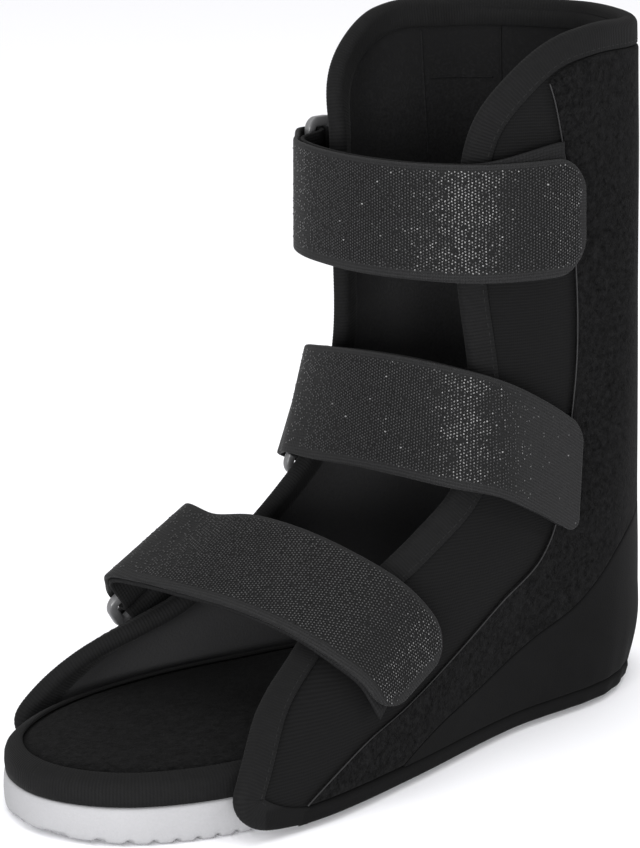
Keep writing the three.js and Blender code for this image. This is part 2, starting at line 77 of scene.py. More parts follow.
# %% [markdown]
# ## Floor and light
# Black cloth needs a lot of soft light, or it turns into a flat cut-out. A white room lights it from all
# round, a wide box overhead gives the top edges their shine, and two bright boxes make the hooks glint: a low
# wide one behind the camera, and a small one at the side for the tip of the lower strap.

# %% Floor and light
FLOOR_HALF = 12.0
ROOM_STRENGTH = 0.97


def softbox(name, place, width, watts, tall=None):
    """An area light at a place, square or of that width and height, turned towards the boot."""
    lamp = bpy.data.lights.new(name, "AREA")
    lamp.shape = "RECTANGLE"
    lamp.size = width
    lamp.size_y = tall or width
    lamp.energy = watts
    box = bpy.data.objects.new(name, lamp)
    box.location = place
    box.rotation_euler = (Vector(place) - LOOK_AT).to_track_quat("Z", "Y").to_euler()
    box.visible_camera = False
    scene.collection.objects.link(box)
    return box


world = bpy.data.worlds.new("white_room")
scene.world = world
world.use_nodes = True
world.node_tree.nodes["Background"].inputs["Color"].default_value = (1, 1, 1, 1)
world.node_tree.nodes["Background"].inputs["Strength"].default_value = ROOM_STRENGTH
softbox("overhead_box", (0.1, 0.1, 1.9), width=1.8, watts=14)
softbox("toe_side_box", (1.6, -0.35, 0.9), width=0.9, watts=4)
softbox("glint_box", LOOK_AT + 1.7 * flat_way + Vector((0.16, -0.15, 0.1)), width=1.6, watts=44, tall=0.5)
softbox("side_glint_box", LOOK_AT + Vector((-1.22, 1.15, 0.3)), width=0.3, watts=5)
scene.view_settings.view_transform = "Standard"

floor_mesh = bpy.data.meshes.new("floor")
corners = [(x, y, 0) for x, y in ((-1, -1), (1, -1), (1, 1), (-1, 1))]
floor_mesh.from_pydata([FLOOR_HALF * Vector(c) for c in corners], [], [(0, 1, 2, 3)])
floor = bpy.data.objects.new("floor", floor_mesh)
scene.collection.objects.link(floor)

# %% [markdown]
# ## Shader maths as Python
# A material is a graph of nodes. Wiring it node by node hides the formula, so one small class wraps an output
# socket and lets `a * 3 + 1` add the Math nodes. Every other node comes from its `node` method.

# %% Sockets with operators
MIX_SHARE, MIX_DARK, MIX_LIGHT, MIX_RESULT = 0, 6, 7, 2  # the Mix node's sockets for colours


class Socket:
    """One output of a node; arithmetic with numbers or other sockets adds Math nodes."""

    def __init__(self, tree, output=None):
        self.tree = tree
        self.output = output

    def node(self, kind, settings=None, inputs=None, output=0):
        """A new node: first its settings, then the numbers, colours or links on its input sockets."""
        made = self.tree.nodes.new(kind)
        for name, value in (settings or {}).items():
            setattr(made, name, value)
        for name, value in (inputs or {}).items():
            if isinstance(value, Socket):
                self.tree.links.new(value.output, made.inputs[name])
            else:
                made.inputs[name].default_value = value
        return Socket(self.tree, made.outputs[output])

    def maths(self, operation, *terms):
        """A Math node for one operation on numbers or sockets."""
        return self.node("ShaderNodeMath", {"operation": operation}, dict(enumerate(terms)))

    def __add__(self, other):
        return self.maths("ADD", self, other)

    def __sub__(self, other):
        return self.maths("SUBTRACT", self, other)

    def __rsub__(self, other):
        return self.maths("SUBTRACT", other, self)

    def __mul__(self, other):
        return self.maths("MULTIPLY", self, other)

    __radd__ = __add__
    __rmul__ = __mul__

    def wave(self, pitch):
        """A ripple between 0 and 1 that repeats every pitch."""
        return self.maths("SINE", self * (2 * math.pi / pitch)) * 0.5 + 0.5

    def limited(self):
        """The value kept between 0 and 1."""
        return self.node("ShaderNodeClamp", {}, {0: self})


class Finish:
    """A Principled material. Constants go straight on its sockets; what varies is fed to a few of them."""

    def __init__(self, name, **constants):
        self.material = bpy.data.materials.new(name)
        self.material.use_nodes = True
        tree = self.material.node_tree
        self.shader = tree.nodes["Principled BSDF"]
        self.pen = Socket(tree)
        for socket, value in constants.items():
            self.shader.inputs[socket.replace("_", " ")].default_value = value

    def place(self):
        """Object coordinates, which are metres in the boot's frame."""
        return self.pen.node("ShaderNodeTexCoord", output="Object")

    def part(self, axis):
        """One object coordinate, X, Y or Z."""
        return self.pen.node("ShaderNodeSeparateXYZ", {}, {0: self.place()}, axis)

    def lay(self):
        """Metres along and across the cloth, from the piece's own UV map."""
        at = self.pen.node("ShaderNodeUVMap", {"uv_map": "lay"})
        along = self.pen.node("ShaderNodeSeparateXYZ", {}, {0: at}, "X")
        across = self.pen.node("ShaderNodeSeparateXYZ", {}, {0: at}, "Y")
        return along, across

    def noise(self, size, detail=2.0, rough=0.5):
        """Cloudy values from 0 to 1 with lumps of about that size."""
        inputs = {"Vector": self.place(), "Scale": 1 / size, "Detail": detail, "Roughness": rough}
        return self.pen.node("ShaderNodeTexNoise", {}, inputs)

    def tint(self, share, dark, light):
        """Grey or coloured Base Color: dark where share is 0, light where it is 1."""
        ends = {MIX_SHARE: share, MIX_DARK: (*dark, 1), MIX_LIGHT: (*light, 1)}
        mixed = self.pen.node("ShaderNodeMix", {"data_type": "RGBA"}, ends, MIX_RESULT)
        self.feed("Base Color", mixed)

    def bump(self, height, depth):
        """Relief of that depth, in metres, where height goes from 0 to 1."""
        inputs = {"Strength": 1.0, "Distance": depth, "Height": height}
        self.feed("Normal", self.pen.node("ShaderNodeBump", {}, inputs))

    def feed(self, socket, value):
        """Links a varying value to one of the shader's sockets."""
        self.pen.tree.links.new(value.output, self.shader.inputs[socket])


def grey(level):
    """A grey with a touch of blue."""
    return (level, level, level * 1.03)


print("shader maths ready")

# %% [markdown]
# ## Finishes
# All the cloths are black, so they differ by how they scatter light: velour is mottled and drinks it, the
# binding tape has ribs, the flap a fine horizontal rib weave, and hook webbing a grainy ground. A faint sheen
# stands for their loose fibres. The sole is pale foam.

# %% Cloth finishes
RIB_PITCH = 0.0014  # of the binding tape
TUCKED_X, TUCKED_Z = 0.179, 0.014  # behind and below this the tape is turned under, without ribs
TUCKED_SHARPNESS = 1500, 500  # how fast that sets in, per metre back and down
WEAVE_PITCH = 0.00125  # of the flap fabric, from rib to rib up the boot
# painted light and shade: the lining's tone changes with height, standing in for how light falls inside the
# boot
LINING_PAINTED_PALE_BELOW, LINING_PAINTED_FADE = 0.17, 5  # the lining is paler below this height, by this share per metre
BLOOM = {"Sheen_Weight": 0.014, "Sheen_Roughness": 0.4}


def velour_finish():
    """Two sizes of noise: patches of brushed loops, and the nap on them."""
    cloth = Finish("velour", Roughness=1.0, Specular_IOR_Level=0.04, **BLOOM)
    mottle = cloth.noise(0.0026, 3.0, 0.65)
    nap = cloth.noise(0.0008, 2.0)
    cloth.tint(mottle * 2.0 + nap * 1.2 - 1.1, grey(0.0006), grey(0.007))
    cloth.bump(mottle * 0.5 + nap * 0.5, 0.0006)
    return cloth.material


def flap_finish():
    """Ribs that repeat up the boot and waver a little, with a finer ripple round it."""
    cloth = Finish("rib_weave", Roughness=0.9, Specular_IOR_Level=0.06, **BLOOM)
    round_it, up = cloth.lay()
    rib = (up + cloth.noise(0.02) * 0.0012).wave(WEAVE_PITCH)
    pick = round_it.wave(0.0009)
    cloth.tint(rib * 0.6 + pick * 0.1 + cloth.noise(0.003) * 0.3, grey(0.0031), grey(0.0057))
    cloth.bump(rib * 0.8 + pick * 0.2, 0.0001)
    return cloth.material


def knit_finish():
    """Slow cloudy patches and a grain as fine as the loops."""
    cloth = Finish("smooth_knit", Roughness=0.92, Specular_IOR_Level=0.045, **BLOOM)
    wide = cloth.noise(0.012, 2.0)
    fine = cloth.noise(0.0006, 1.0)
    cloth.tint(wide * 0.5 + fine * 0.5, grey(0.0023), grey(0.0053))
    cloth.bump(fine * 0.6 + wide * 0.4, 0.0002)
    return cloth.material


def lining_finish():
    """A soft grain, with painted light and shade by height: paler towards the foot, darker towards the rim.
    """
    cloth = Finish("brushed_lining", Roughness=1.0, Specular_IOR_Level=0.04)
    fine = cloth.noise(0.0011, 3.0)
    # painted light and shade: the share grows lower down and falls towards the rim
    low = (LINING_PAINTED_PALE_BELOW - cloth.part("Z")) * LINING_PAINTED_FADE
    cloth.tint(fine + low, grey(0.0075), grey(0.023))
    cloth.bump(fine, 0.0003)
    return cloth.material


def tape_finish():
    """Ribs across the tape and slanting threads, both gone where the tape is turned under."""
    cloth = Finish("ribbed_tape", Roughness=0.85, Specular_IOR_Level=0.08, Sheen_Weight=0.014)
    cloth.shader.inputs["Sheen Roughness"].default_value = 0.35
    along, across = cloth.lay()
    rib = along.wave(RIB_PITCH)
    thread = (across + along * 0.35).wave(0.0006)
    behind = ((TUCKED_X - cloth.part("X")) * TUCKED_SHARPNESS[0]).limited()
    tucked = behind * ((TUCKED_Z - cloth.part("Z")) * TUCKED_SHARPNESS[1]).limited()
    share = rib * 0.4 + thread * 0.2 + cloth.noise(0.003) * 0.4
    cloth.tint(share * (1 - tucked), grey(0.003), grey(0.0075))
    cloth.bump((rib * 0.6 + thread * 0.4) * (1 - tucked), 0.00009)
    return cloth.material


def webbing_finish():
    """A weave with grain, with painted shade: darker where hooks stand on it, for the shade among the hooks.
    """
    cloth = Finish("hook_ground", Roughness=0.8, Specular_IOR_Level=0.14, Sheen_Weight=0.03)
    cloth.shader.inputs["Sheen Roughness"].default_value = 0.4
    along, across = cloth.lay()
    weave = along.wave(0.0011) * 0.3 + across.wave(0.0013) * 0.7
    grain = cloth.noise(0.0008, 2.0)
    painted_hook_shade = cloth.pen.node("ShaderNodeAttribute", {"attribute_name": "painted_hook_shade"}, output="Fac")
    # painted shade: the ground is darkened by up to three quarters where hooks stand, for the shade among
    # them
    cloth.tint((weave * 0.6 + grain * 1.0 - 0.3) * (1 - painted_hook_shade * 0.75), grey(0.0035), grey(0.0135))
    cloth.bump(weave * 0.5 + grain * 0.5, 0.0003)
    return cloth.material


def plain_webbing_finish():
    """The weave of the webbing's back, without hooks."""
    cloth = Finish("plain_webbing", Roughness=0.9, Specular_IOR_Level=0.08)
    along, across = cloth.lay()
    weave = along.wave(0.0016) * 0.5 + across.wave(0.0013) * 0.5
    cloth.tint(weave * 0.5 + cloth.noise(0.001) * 0.5, grey(0.004), grey(0.0115))
    cloth.bump(weave, 0.0002)
    return cloth.material


velour = velour_finish()
flap = flap_finish()
knit = knit_finish()
lining = lining_finish()
tape = tape_finish()
webbing = webbing_finish()
plain_webbing = plain_webbing_finish()
print("cloth finishes", [m.name for m in (velour, flap, knit, lining, tape, webbing, plain_webbing)])

# %% Hard finishes and thread


def foam_finish():
    """Small foam cells and slow clouds; the cells also change the roughness."""
    foam = Finish("sole_foam", Specular_IOR_Level=0.3)
    cells = foam.noise(0.0009, 2.0)
    cloud = foam.noise(0.03, 2.0)
    foam.tint(cells * 0.5 + cloud * 0.5, grey(0.215), grey(0.275))
    foam.feed("Roughness", cells * 0.2 + 0.6)
    foam.bump(cells, 0.00012)
    return foam.material


def ring_finish():
    """Moulded plastic with a faint haze in colour, roughness and relief."""
    moulded = Finish("moulded_ring", Specular_IOR_Level=0.5)
    haze = moulded.noise(0.004, 2.0)
    moulded.tint(haze, grey(0.07), grey(0.12))
    moulded.feed("Roughness", haze * 0.2 + 0.22)
    moulded.bump(haze, 0.0001)
    return moulded.material


def hook_finish():
    """Clear dark nylon, smooth enough for its caps to mirror a lamp."""
    nylon = Finish("hook_nylon", Specular_IOR_Level=0.42)
    haze = nylon.noise(0.002)
    nylon.tint(haze, grey(0.006), grey(0.022))
    nylon.feed("Roughness", haze * 0.2 + 0.2)
    return nylon.material


def thread_finish():
    """A dark thread with a fine twist."""
    thread = Finish("thread", Roughness=0.7, Specular_IOR_Level=0.15)
    twist = thread.noise(0.0005)
    thread.tint(twist, grey(0.003), grey(0.01))
    return thread.material


def piping_finish():
    """A covered cord that is a little smoother than the cloth beside it."""
    cord_cloth = Finish("piping", Roughness=0.6, Specular_IOR_Level=0.22)
    cord_cloth.tint(cord_cloth.noise(0.0008), grey(0.007), grey(0.018))
    return cord_cloth.material


def floor_finish():
    """A pale floor with very slow clouds."""
    ground = Finish("pale_floor", Roughness=0.9, Specular_IOR_Level=0.1)
    ground.tint(ground.noise(0.5), grey(0.93), grey(0.95))
    return ground.material


foam = foam_finish()
ring_plastic = ring_finish()
hook_nylon = hook_finish()
thread = thread_finish()
piping = piping_finish()
floor.data.materials.append(floor_finish())
print("hard finishes", [m.name for m in (foam, ring_plastic, hook_nylon, thread, piping)])

# %% [markdown]
# ## From numpy grids to meshes
# Each piece below is a grid of points worked out as whole arrays. Three helpers turn grids into meshes: one
# makes the quads between neighbouring rows and columns, one closes the ends of a tube, and one closes a front
# and a back grid into a sheet with real thickness.

# %% Mesh helpers
MEETING, IN_PLANE = 2e-6, 1e-6  # points this close are one; faces this close to the middle plane lie in it


def grid_faces(rows, columns, loop_rows=False, loop_columns=False):
    """Quads between each point, its neighbours in the next row and column, and the point beyond them."""
    r, c = np.meshgrid(
        np.arange(rows if loop_rows else rows - 1),
        np.arange(columns if loop_columns else columns - 1),
        indexing="ij",
    )
    below, beside = (r + 1) % rows, (c + 1) % columns
    quads = [r * columns + c, r * columns + beside, below * columns + beside, below * columns + c]
    return np.stack(quads, axis=-1).reshape(-1, 4)


def end_caps(rows, columns):
    """Quads over both ends of a tube with an even number of points round it, from side to opposite side."""
    i = np.arange(columns // 2 - 1)
    first = np.stack([i, columns - 1 - i, columns - 2 - i, i + 1], axis=1)
    return np.concatenate([first, first[:, ::-1] + (rows - 1) * columns])


def sheet_faces(rows, columns):
    """Quads of a front grid, of a back grid turned over, and of the strip that joins their borders."""
    number = np.arange(rows * columns).reshape(rows, columns)
    border = np.concatenate([number[0, :-1], number[:-1, -1], number[-1, :0:-1], number[:0:-1, 0]])
    ahead = np.roll(border, -1)
    strip = np.stack([border, border + number.size, ahead + number.size, ahead], axis=1)
    front = grid_faces(rows, columns)
    return np.concatenate([front, front[:, ::-1] + number.size, strip]), len(front)


def facing_out(points, quads):
    """The quads, all turned over if the volume they enclose counts as negative."""
    a, b, c, d = (points[quads[:, i]] for i in range(4))
    volume = (a * np.cross(b, c)).sum() + (a * np.cross(c, d)).sum()
    return quads if volume > 0 else quads[:, ::-1]


def piece(
    name, points, quads, finishes, stands_for=None,
    lay=None, finish_index=None, merge=False, smooth=True,
):
    """A mesh object made from arrays, riding on the boot's one body."""
    points = np.asarray(points, float).reshape(-1, 3)
    quads = facing_out(points, quads)
    mesh = bpy.data.meshes.new(name)
    mesh.vertices.add(len(points))
    mesh.vertices.foreach_set("co", points.astype(np.float32).ravel())
    mesh.loops.add(quads.size)
    mesh.loops.foreach_set("vertex_index", quads.astype(np.int32).ravel())
    mesh.polygons.add(len(quads))
    mesh.polygons.foreach_set("loop_start", np.arange(0, quads.size, 4, dtype=np.int32))
    mesh.polygons.foreach_set("use_smooth", np.full(len(quads), smooth))
    for finish in finishes:
        mesh.materials.append(finish)
    if finish_index is not None:
        mesh.polygons.foreach_set("material_index", finish_index.astype(np.int32))
    if lay is not None:
        uv = np.asarray(lay, np.float32).reshape(-1, 2)
        mesh.uv_layers.new(name="lay").data.foreach_set("uv", uv[quads.ravel()].ravel())
    mesh.update(calc_edges=True)
    if merge:
        close_up(mesh)
    made = bpy.data.objects.new(name, mesh)
    scene.collection.objects.link(made)
    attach(made, "root")
    if stands_for:
        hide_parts(stands_for)
    print(name, len(mesh.polygons), "faces")
    return made


def close_up(mesh):
    """Merges points that meet, then deletes walls left lying in the middle plane between two halves."""
    work = bmesh.new()
    work.from_mesh(mesh)
    bmesh.ops.remove_doubles(work, verts=work.verts, dist=MEETING)
    inner = [f for f in work.faces if all(abs(v.co.y) < IN_PLANE for v in f.verts)]
    bmesh.ops.delete(work, geom=inner, context="FACES_ONLY")
    bmesh.ops.recalc_face_normals(work, faces=work.faces)
    work.to_mesh(mesh)
    work.free()


print("a grid of 3 by 4 points has", len(grid_faces(3, 4)), "quads")

# %% Curve helpers


def unit(vectors):
    """The same directions with length 1."""
    return vectors / np.maximum(np.linalg.norm(vectors, axis=-1, keepdims=True), 1e-12)


def smoothstep(t):
    """A rise from 0 to 1 that starts and ends level: three squares less two cubes of t kept between them."""
    c = np.clip(t, 0, 1)
    return c * c * (3 - 2 * c)


def smooth_path(points, steps):
    """Cubics through points of shape (..., n, d). The slope at a point adds the rises of both chords and
    takes off that of the chord across, each over the square roots of the chords' lengths. Ends go on by
    reflection."""
    points = np.asarray(points, float)
    before = 2 * points[..., :1, :] - points[..., 1:2, :]
    after = 2 * points[..., -1:, :] - points[..., -2:-1, :]
    run = np.concatenate([before, points, after], axis=-2)
    chord = np.sqrt(np.linalg.norm(np.diff(run, axis=-2), axis=-1, keepdims=True))
    rise = np.diff(run, axis=-2) / chord
    across = (run[..., 2:, :] - run[..., :-2, :]) / (chord[..., 1:, :] + chord[..., :-1, :])
    slope = (rise[..., :-1, :] + rise[..., 1:, :] - across)[..., None, :]
    span = chord[..., 1:-1, None, :]
    t = (np.arange(steps) / steps)[:, None]
    here, there = points[..., :-1, None, :], points[..., 1:, None, :]
    bend = slope[..., :-1, :, :] * (t * (1 - t) ** 2) - slope[..., 1:, :, :] * (t * t * (1 - t))
    between = here + (there - here) * (t * t * (3 - 2 * t)) + bend * span
    shape = (*points.shape[:-2], -1, points.shape[-1])
    return np.concatenate([between.reshape(shape), points[..., -1:, :]], axis=-2)


def lengths_along(path):
    """The length from the start of a path to each of its points."""
    return np.concatenate([[0], np.cumsum(np.linalg.norm(np.diff(path, axis=0), axis=1))])


def at_lengths(path, lengths, at):
    """Points of a path at given lengths from its start."""
    return np.stack([np.interp(at, lengths, column) for column in path.T], axis=1)


def evenly(path, count):
    """The same path as count points with equal steps."""
    lengths = lengths_along(path)
    return at_lengths(path, lengths, np.linspace(0, lengths[-1], count))


print("halfway along a corner:", evenly(np.array([[0, 0], [1, 0], [1, 1]]), 3)[1])

# %% [markdown]
# ## The wall of the upper
# The upper is one smooth wall that wraps the heel and runs forward on both sides. It could be sculpted, but
# covers, tape and stitches all have to follow it. So it is a function: `wall(a, z)` gives the point a metres
# round from the line down the back, at height z. A short table of half sections drives it, as in the CAD.

# %% Half sections of the wall
MM = 0.001
# height, then x and y of the front, fore, side, rear, heel and turn stops, then x of the back line
UPPER_LEVELS = MM * np.array([
    [2.5, 191, 68.5, 150, 69.5, 90, 61.5, 20, 48.5, -44, 44.5, -77, 23.5, -92.5],
    [24, 186, 66, 147, 68.5, 90, 62, 20, 51, -44.5, 47, -81.8, 26.5, -95.5],
    [45, 166, 52, 135, 61.5, 85, 60.5, 20, 52, -44.5, 47.8, -81.2, 26.8, -94.5],
    [61, 132, 35, 108, 51, 65, 57, 10, 53, -45, 48.2, -80, 27.3, -92],
    [81, 93, 39, 72, 50, 42, 54.5, 0, 53.5, -45.5, 48.4, -78, 28, -89],
    [116, 43, 44.5, 30, 49.8, 10, 53, -12, 52.5, -47, 49, -74, 30, -84.5],
    [154, 36, 40, 24, 47, 5, 52, -15, 52.5, -48, 49.5, -70.8, 31, -81.5],
    [199, 40, 35.5, 27, 45.5, 7, 53, -14, 54, -48.3, 50, -67, 31.2, -78],
    [238, 40, 37, 27, 48, 6, 56, -16, 56, -48, 50, -65.2, 30.3, -75.5],
    [275, 25, 50, 14, 55, 0, 58.5, -20, 57, -47.5, 49.2, -63.5, 29, -74],
    [297, -5, 57, -14, 58, -24, 57, -35, 54, -50, 46.5, -64, 28, -73.5],
])
FRONT_EXTENSION = 14 * MM  # by which the sections go on ahead of their front stop
STRAIGHT_ON = 6 * FRONT_EXTENSION  # by which they then go on straight
CELL = 1.5 * MM  # of the table that wall() reads
SECTION_STEPS = 40  # points between two stops of a section


def between_levels(levels, z):
    """Each column at heights z: cubics whose slope at a row weighs a side's rise by the other side's step."""
    known, values = levels[:, 0], levels[:, 1:]
    step = np.diff(known)[:, None]
    rise = np.diff(values, axis=0) / step
    inner = (rise[:-1] * step[1:] + rise[1:] * step[:-1]) / (step[1:] + step[:-1])
    slope = np.concatenate([rise[:1], inner, rise[-1:]])
    k = np.clip(np.searchsorted(known, z) - 1, 0, len(step) - 1)
    t = ((z - known[k]) / step[k, 0])[:, None]
    rising = t * t * (3 - 2 * t)
    bend = slope[k] * (t * (1 - t) ** 2) - slope[k + 1] * (t * t * (1 - t))
    return values[k] * (1 - rising) + values[k + 1] * rising + bend * step[k]


heights = np.arange(-4 * MM, 296 * MM, CELL)
rounds = np.arange(-3, 250) * CELL


def section_table():
    """x and y of the wall for each height and each length round from the back line."""
    values = between_levels(UPPER_LEVELS, heights)
    stops = values[:, :12].reshape(-1, 6, 2)[:, ::-1]
    back = np.stack([values[:, 12], 0 * heights], axis=-1)[:, None]
    ahead = stops[:, -1:] + unit(stops[:, -1:] - stops[:, -2:-1]) * FRONT_EXTENSION
    half = np.concatenate([stops[:, :1] * (1, -1), back, stops, ahead], axis=1)
    paths = smooth_path(half, SECTION_STEPS)[:, SECTION_STEPS:]
    tail = paths[:, -1:] + unit(paths[:, -1:] - paths[:, -2:-1]) * STRAIGHT_ON
    paths = np.concatenate([paths, tail], axis=1)
    rows = [at_lengths(path, lengths_along(path), np.abs(rounds)) for path in paths]
    return np.stack(rows) * np.stack([np.ones(len(rounds)), np.where(rounds < 0, -1, 1)], axis=-1)


upper_table = section_table()
print("wall table", upper_table.shape)

# %% The wall as a function
FURTHEST_ROUND, HALVINGS = 0.36, 40  # on_wall() searches this far round, in this many steps


def cubic_weights(f):
    """Weights of four neighbours for a smooth value at a fraction f between the middle two."""
    return np.stack([
        (-f + 2 * f**2 - f**3) / 2,
        (2 - 5 * f**2 + 3 * f**3) / 2,
        (f + 4 * f**2 - 3 * f**3) / 2,
        (f**3 - f**2) / 2,
    ])[..., None]


def wall(a, z):
    """Outer face of the padding, a metres round from the back line (below 0 on the right), z metres up."""
    a, z = np.broadcast_arrays(a, z)
    row = (z - heights[0]) / CELL
    column = (np.abs(a) - rounds[0]) / CELL
    r = np.clip(np.floor(row).astype(int), 1, len(heights) - 3)
    c = np.clip(np.floor(column).astype(int), 1, len(rounds) - 3)
    up, beside = cubic_weights(row - r), cubic_weights(column - c)
    pairs = [(p, q) for p in range(4) for q in range(4)]
    flat = sum(up[p] * beside[q] * upper_table[r + p - 1, c + q - 1] for p, q in pairs)
    return np.stack([flat[..., 0], np.where(a < 0, -1, 1) * flat[..., 1], z], axis=-1)


def wall_frame(a, z):
    """The wall's point, its ways along and up by differences, and its normal, up crossed with along."""
    h = 0.5 * MM
    along = (wall(a + h, z) - wall(a - h, z)) / (2 * h)
    up = (wall(a, z + h) - wall(a, z - h)) / (2 * h)
    return wall(a, z), along, up, unit(np.cross(up, along))


def skin(a, z, out):
    """The wall's point moved outwards by a distance."""
    point, _, _, normal = wall_frame(a, z)
    return point + normal * np.asarray(out)[..., None]


def on_wall(x, z):
    """How far round the wall a side-view point lies on the left, by halving: x grows all the way forward."""
    low, high = np.zeros_like(x), np.full_like(x, FURTHEST_ROUND)
    for _ in range(HALVINGS):
        middle = (low + high) / 2
        short = wall(middle, z)[..., 0] < x
        low, high = np.where(short, middle, low), np.where(short, high, middle)
    return (low + high) / 2


print("back line at mid height", wall(np.zeros(1), np.full(1, 0.15)).round(4))

# %% Edge, seams and thickness
# side view x and z of the bound edge, from the toe corner over the instep and up the shin to the rim
EDGE_PROFILE = MM * np.array([
    [158, 1], [172, 3.8], [181, 7.2], [187, 12.5], [188.5, 18], [186, 24], [166, 45], [132, 61], [93, 81],
    [69, 95], [50, 109], [39, 124], [36, 154], [40, 199], [40, 238], [36, 260], [25, 275], [8, 286.5],
    [-12, 291], [-40, 291],
])
# side view x and z of the seam where the velour starts, from the rim to the hem near the toes
VELOUR_SEAM = MM * np.array([
    [18, 292], [9, 262], [-3, 220], [-10, 180], [-11, 152], [-7, 122], [-2, 95], [10, 75], [35, 62], [62, 48],
    [95, 34], [125, 25], [152, 13], [172, 0],
])
# side view x and z of the seam between the velour and the smooth heel cover, from the back to the hem
HEEL_SEAM = MM * np.array([
    [-130, 88], [-90, 84], [-60, 77], [-43, 69], [-30, 59], [-14, 49], [10, 41], [46, 29], [80, 19], [118, 2],
])
WALL, WALL_AT_EDGE = 6.5 * MM, 4.2 * MM  # thickness of the padding
SQUEEZE_WIDTH, LASTED_HEIGHT = 16 * MM, 40 * MM  # over which it thins towards the edge and the hem
HEM_Z, HEM_TOP = 2.5 * MM, 9 * MM
GAP, SKIN = 0.4 * MM, 1.4 * MM  # between layers, and the thickness of a cover
TAPE_THICK, TAPE_WIDTH = 1.2 * MM, 10 * MM
PATH_STEPS = 24  # points between two stops of a side-view path
SWELL, RIPPLE = 0.22 * MM, 0.1 * MM  # heights of the padding's unevenness

edge_side = smooth_path(EDGE_PROFILE, PATH_STEPS)


def moved_in(path, distance):
    """A side-view path shifted square to its own direction, towards the inside of the wall."""
    along = unit(np.gradient(path, axis=0))
    return path + distance * np.stack([-along[:, 1], along[:, 0]], axis=1)


def wall_path(side_path):
    """A side-view path as lengths round the wall and heights, without what lies under the hem."""
    kept = side_path[side_path[:, 1] >= HEM_Z]
    return np.stack([on_wall(kept[:, 0], kept[:, 1]), kept[:, 1]], axis=1)


def thickness(a, z):
    """The padding's thickness: full in the middle, less near the bound edge and less towards the hem."""
    point = wall(a, z)[..., [0, 2]]
    apart = np.linalg.norm(point[..., None, :] - edge_side[::6], axis=-1).min(axis=-1)
    full = smoothstep(apart / SQUEEZE_WIDTH) * smoothstep(z / LASTED_HEIGHT)
    return WALL_AT_EDGE + (WALL - WALL_AT_EDGE) * full


def softness(a, z):
    """A slow unevenness of sewn padding, in metres: two slanting swells and a shorter ripple."""
    swell = np.sin(a / 0.031 + 1.3 * np.sin(z / 0.05)) * np.sin(z / 0.043 + 0.7)
    return SWELL * swell + RIPPLE * np.sin(a / 0.017 + z / 0.029)


print("edge runs", round(float(lengths_along(edge_side)[-1]), 3), "m in side view")

# %% [markdown]
# ## The padded upper
# Foam between a woven outside and a brushed lining makes a wall about 6 mm thick. A Solidify modifier could
# thicken one surface, but the wall thins where tape squeezes it, so both faces are computed and closed into
# one sheet. The padding is stiff and has no loose folds, so no cloth run is needed: slow swells show that it
# is soft.

# %% Padded upper
UPPER_ROWS, UPPER_COLUMNS = 150, 171
TUCK = 2.1 * MM  # the wall stops this far inside its edge, under the tape's fold
RIM_LEVEL_FROM = -12 * MM  # behind this x the rim is level, so the rows end there
UNDER_COVERS = 0.1 * MM  # the outer face lies this far under the wall that the covers are laid on


def padded_upper():
    """Rows follow the tucked edge from hem to rim; a row runs from one edge round the back to the other."""
    inner_edge = moved_in(edge_side, TUCK)
    rows = evenly(inner_edge[(inner_edge[:, 1] > HEM_Z) & (inner_edge[:, 0] > RIM_LEVEL_FROM)], UPPER_ROWS)
    reach = on_wall(rows[:, 0], rows[:, 1])[:, None]
    a = reach * np.linspace(1, -1, UPPER_COLUMNS)
    z = np.repeat(rows[:, 1:], UPPER_COLUMNS, axis=1)
    outer = skin(a, z, softness(a, z) - UNDER_COVERS)
    inner = skin(a, z, -thickness(a, z))
    quads, front = sheet_faces(*a.shape)
    index = np.zeros(len(quads))
    index[front:2 * front] = 1
    lay = np.tile(np.stack([a, z], axis=-1).reshape(-1, 2), (2, 1))
    points = np.concatenate([outer.reshape(-1, 3), inner.reshape(-1, 3)])
    made = piece("padded_wall", points, quads, [flap, lining], "padded_upper", lay, index)
    return made


padded_upper()

# %% [markdown]
# ## Binding tape
# Ribbed tape is folded over the raw edge and sewn through. A curve with a bevel would give a round tube, so
# a folded profile is carried along the edge instead: a leg outside, a half circle over the edge and a leg
# inside. The ribs are real: the section swells and shrinks along the tape.

# %% Edge binding
RIB_STEPS = 4  # stops in one rib
RIB_DEPTH = 0.05 * MM
FOLD_STOPS = 11  # round the half circle
HEM_REACH = 0.75  # share of a leg's depth that is left at the hem
CORNER_FADE = 26 * MM  # over which the fold gets shallow towards both ends, where the hem takes over
END_NOSE = 0.31  # share of the fold's depth that is left at the ends
RIM_STOPS = 200  # from the end of the side view's edge to the back line
# from a leg's sewn border to the fold: share of its depth, of the tape's thickness and of the ribs
LEG_DEPTHS = np.array([1.0, 0.985, 0.93, 0.6, 0.3])
LEG_LIFTS = np.array([0.15, 0.75, 1.0, 1.05, 1.02])
LEG_RIBS = np.array([0, 0.4, 1, 1, 1])[:, None]
UNDER_DEPTH, UNDER_GAP = np.array([0.99]), 0.9 * GAP  # where the tape's underside begins


def edge_stations(step):
    """Evenly spaced lengths and heights along the whole edge: left toe, instep, rim and back, right toe."""
    line = wall_path(moved_in(edge_side, TUCK))
    level = np.full(RIM_STOPS - 1, line[-1, 1])
    rim = np.stack([np.linspace(line[-1, 0], 0, RIM_STOPS)[1:], level], axis=1)
    half = np.concatenate([line, rim])
    whole = np.concatenate([half, half[-2::-1] * (-1, 1)])
    lengths = lengths_along(wall(whole[:, 0], whole[:, 1]))
    count = int(lengths[-1] / step)
    return at_lengths(whole, lengths, np.linspace(0, lengths[-1], count)), lengths[-1]


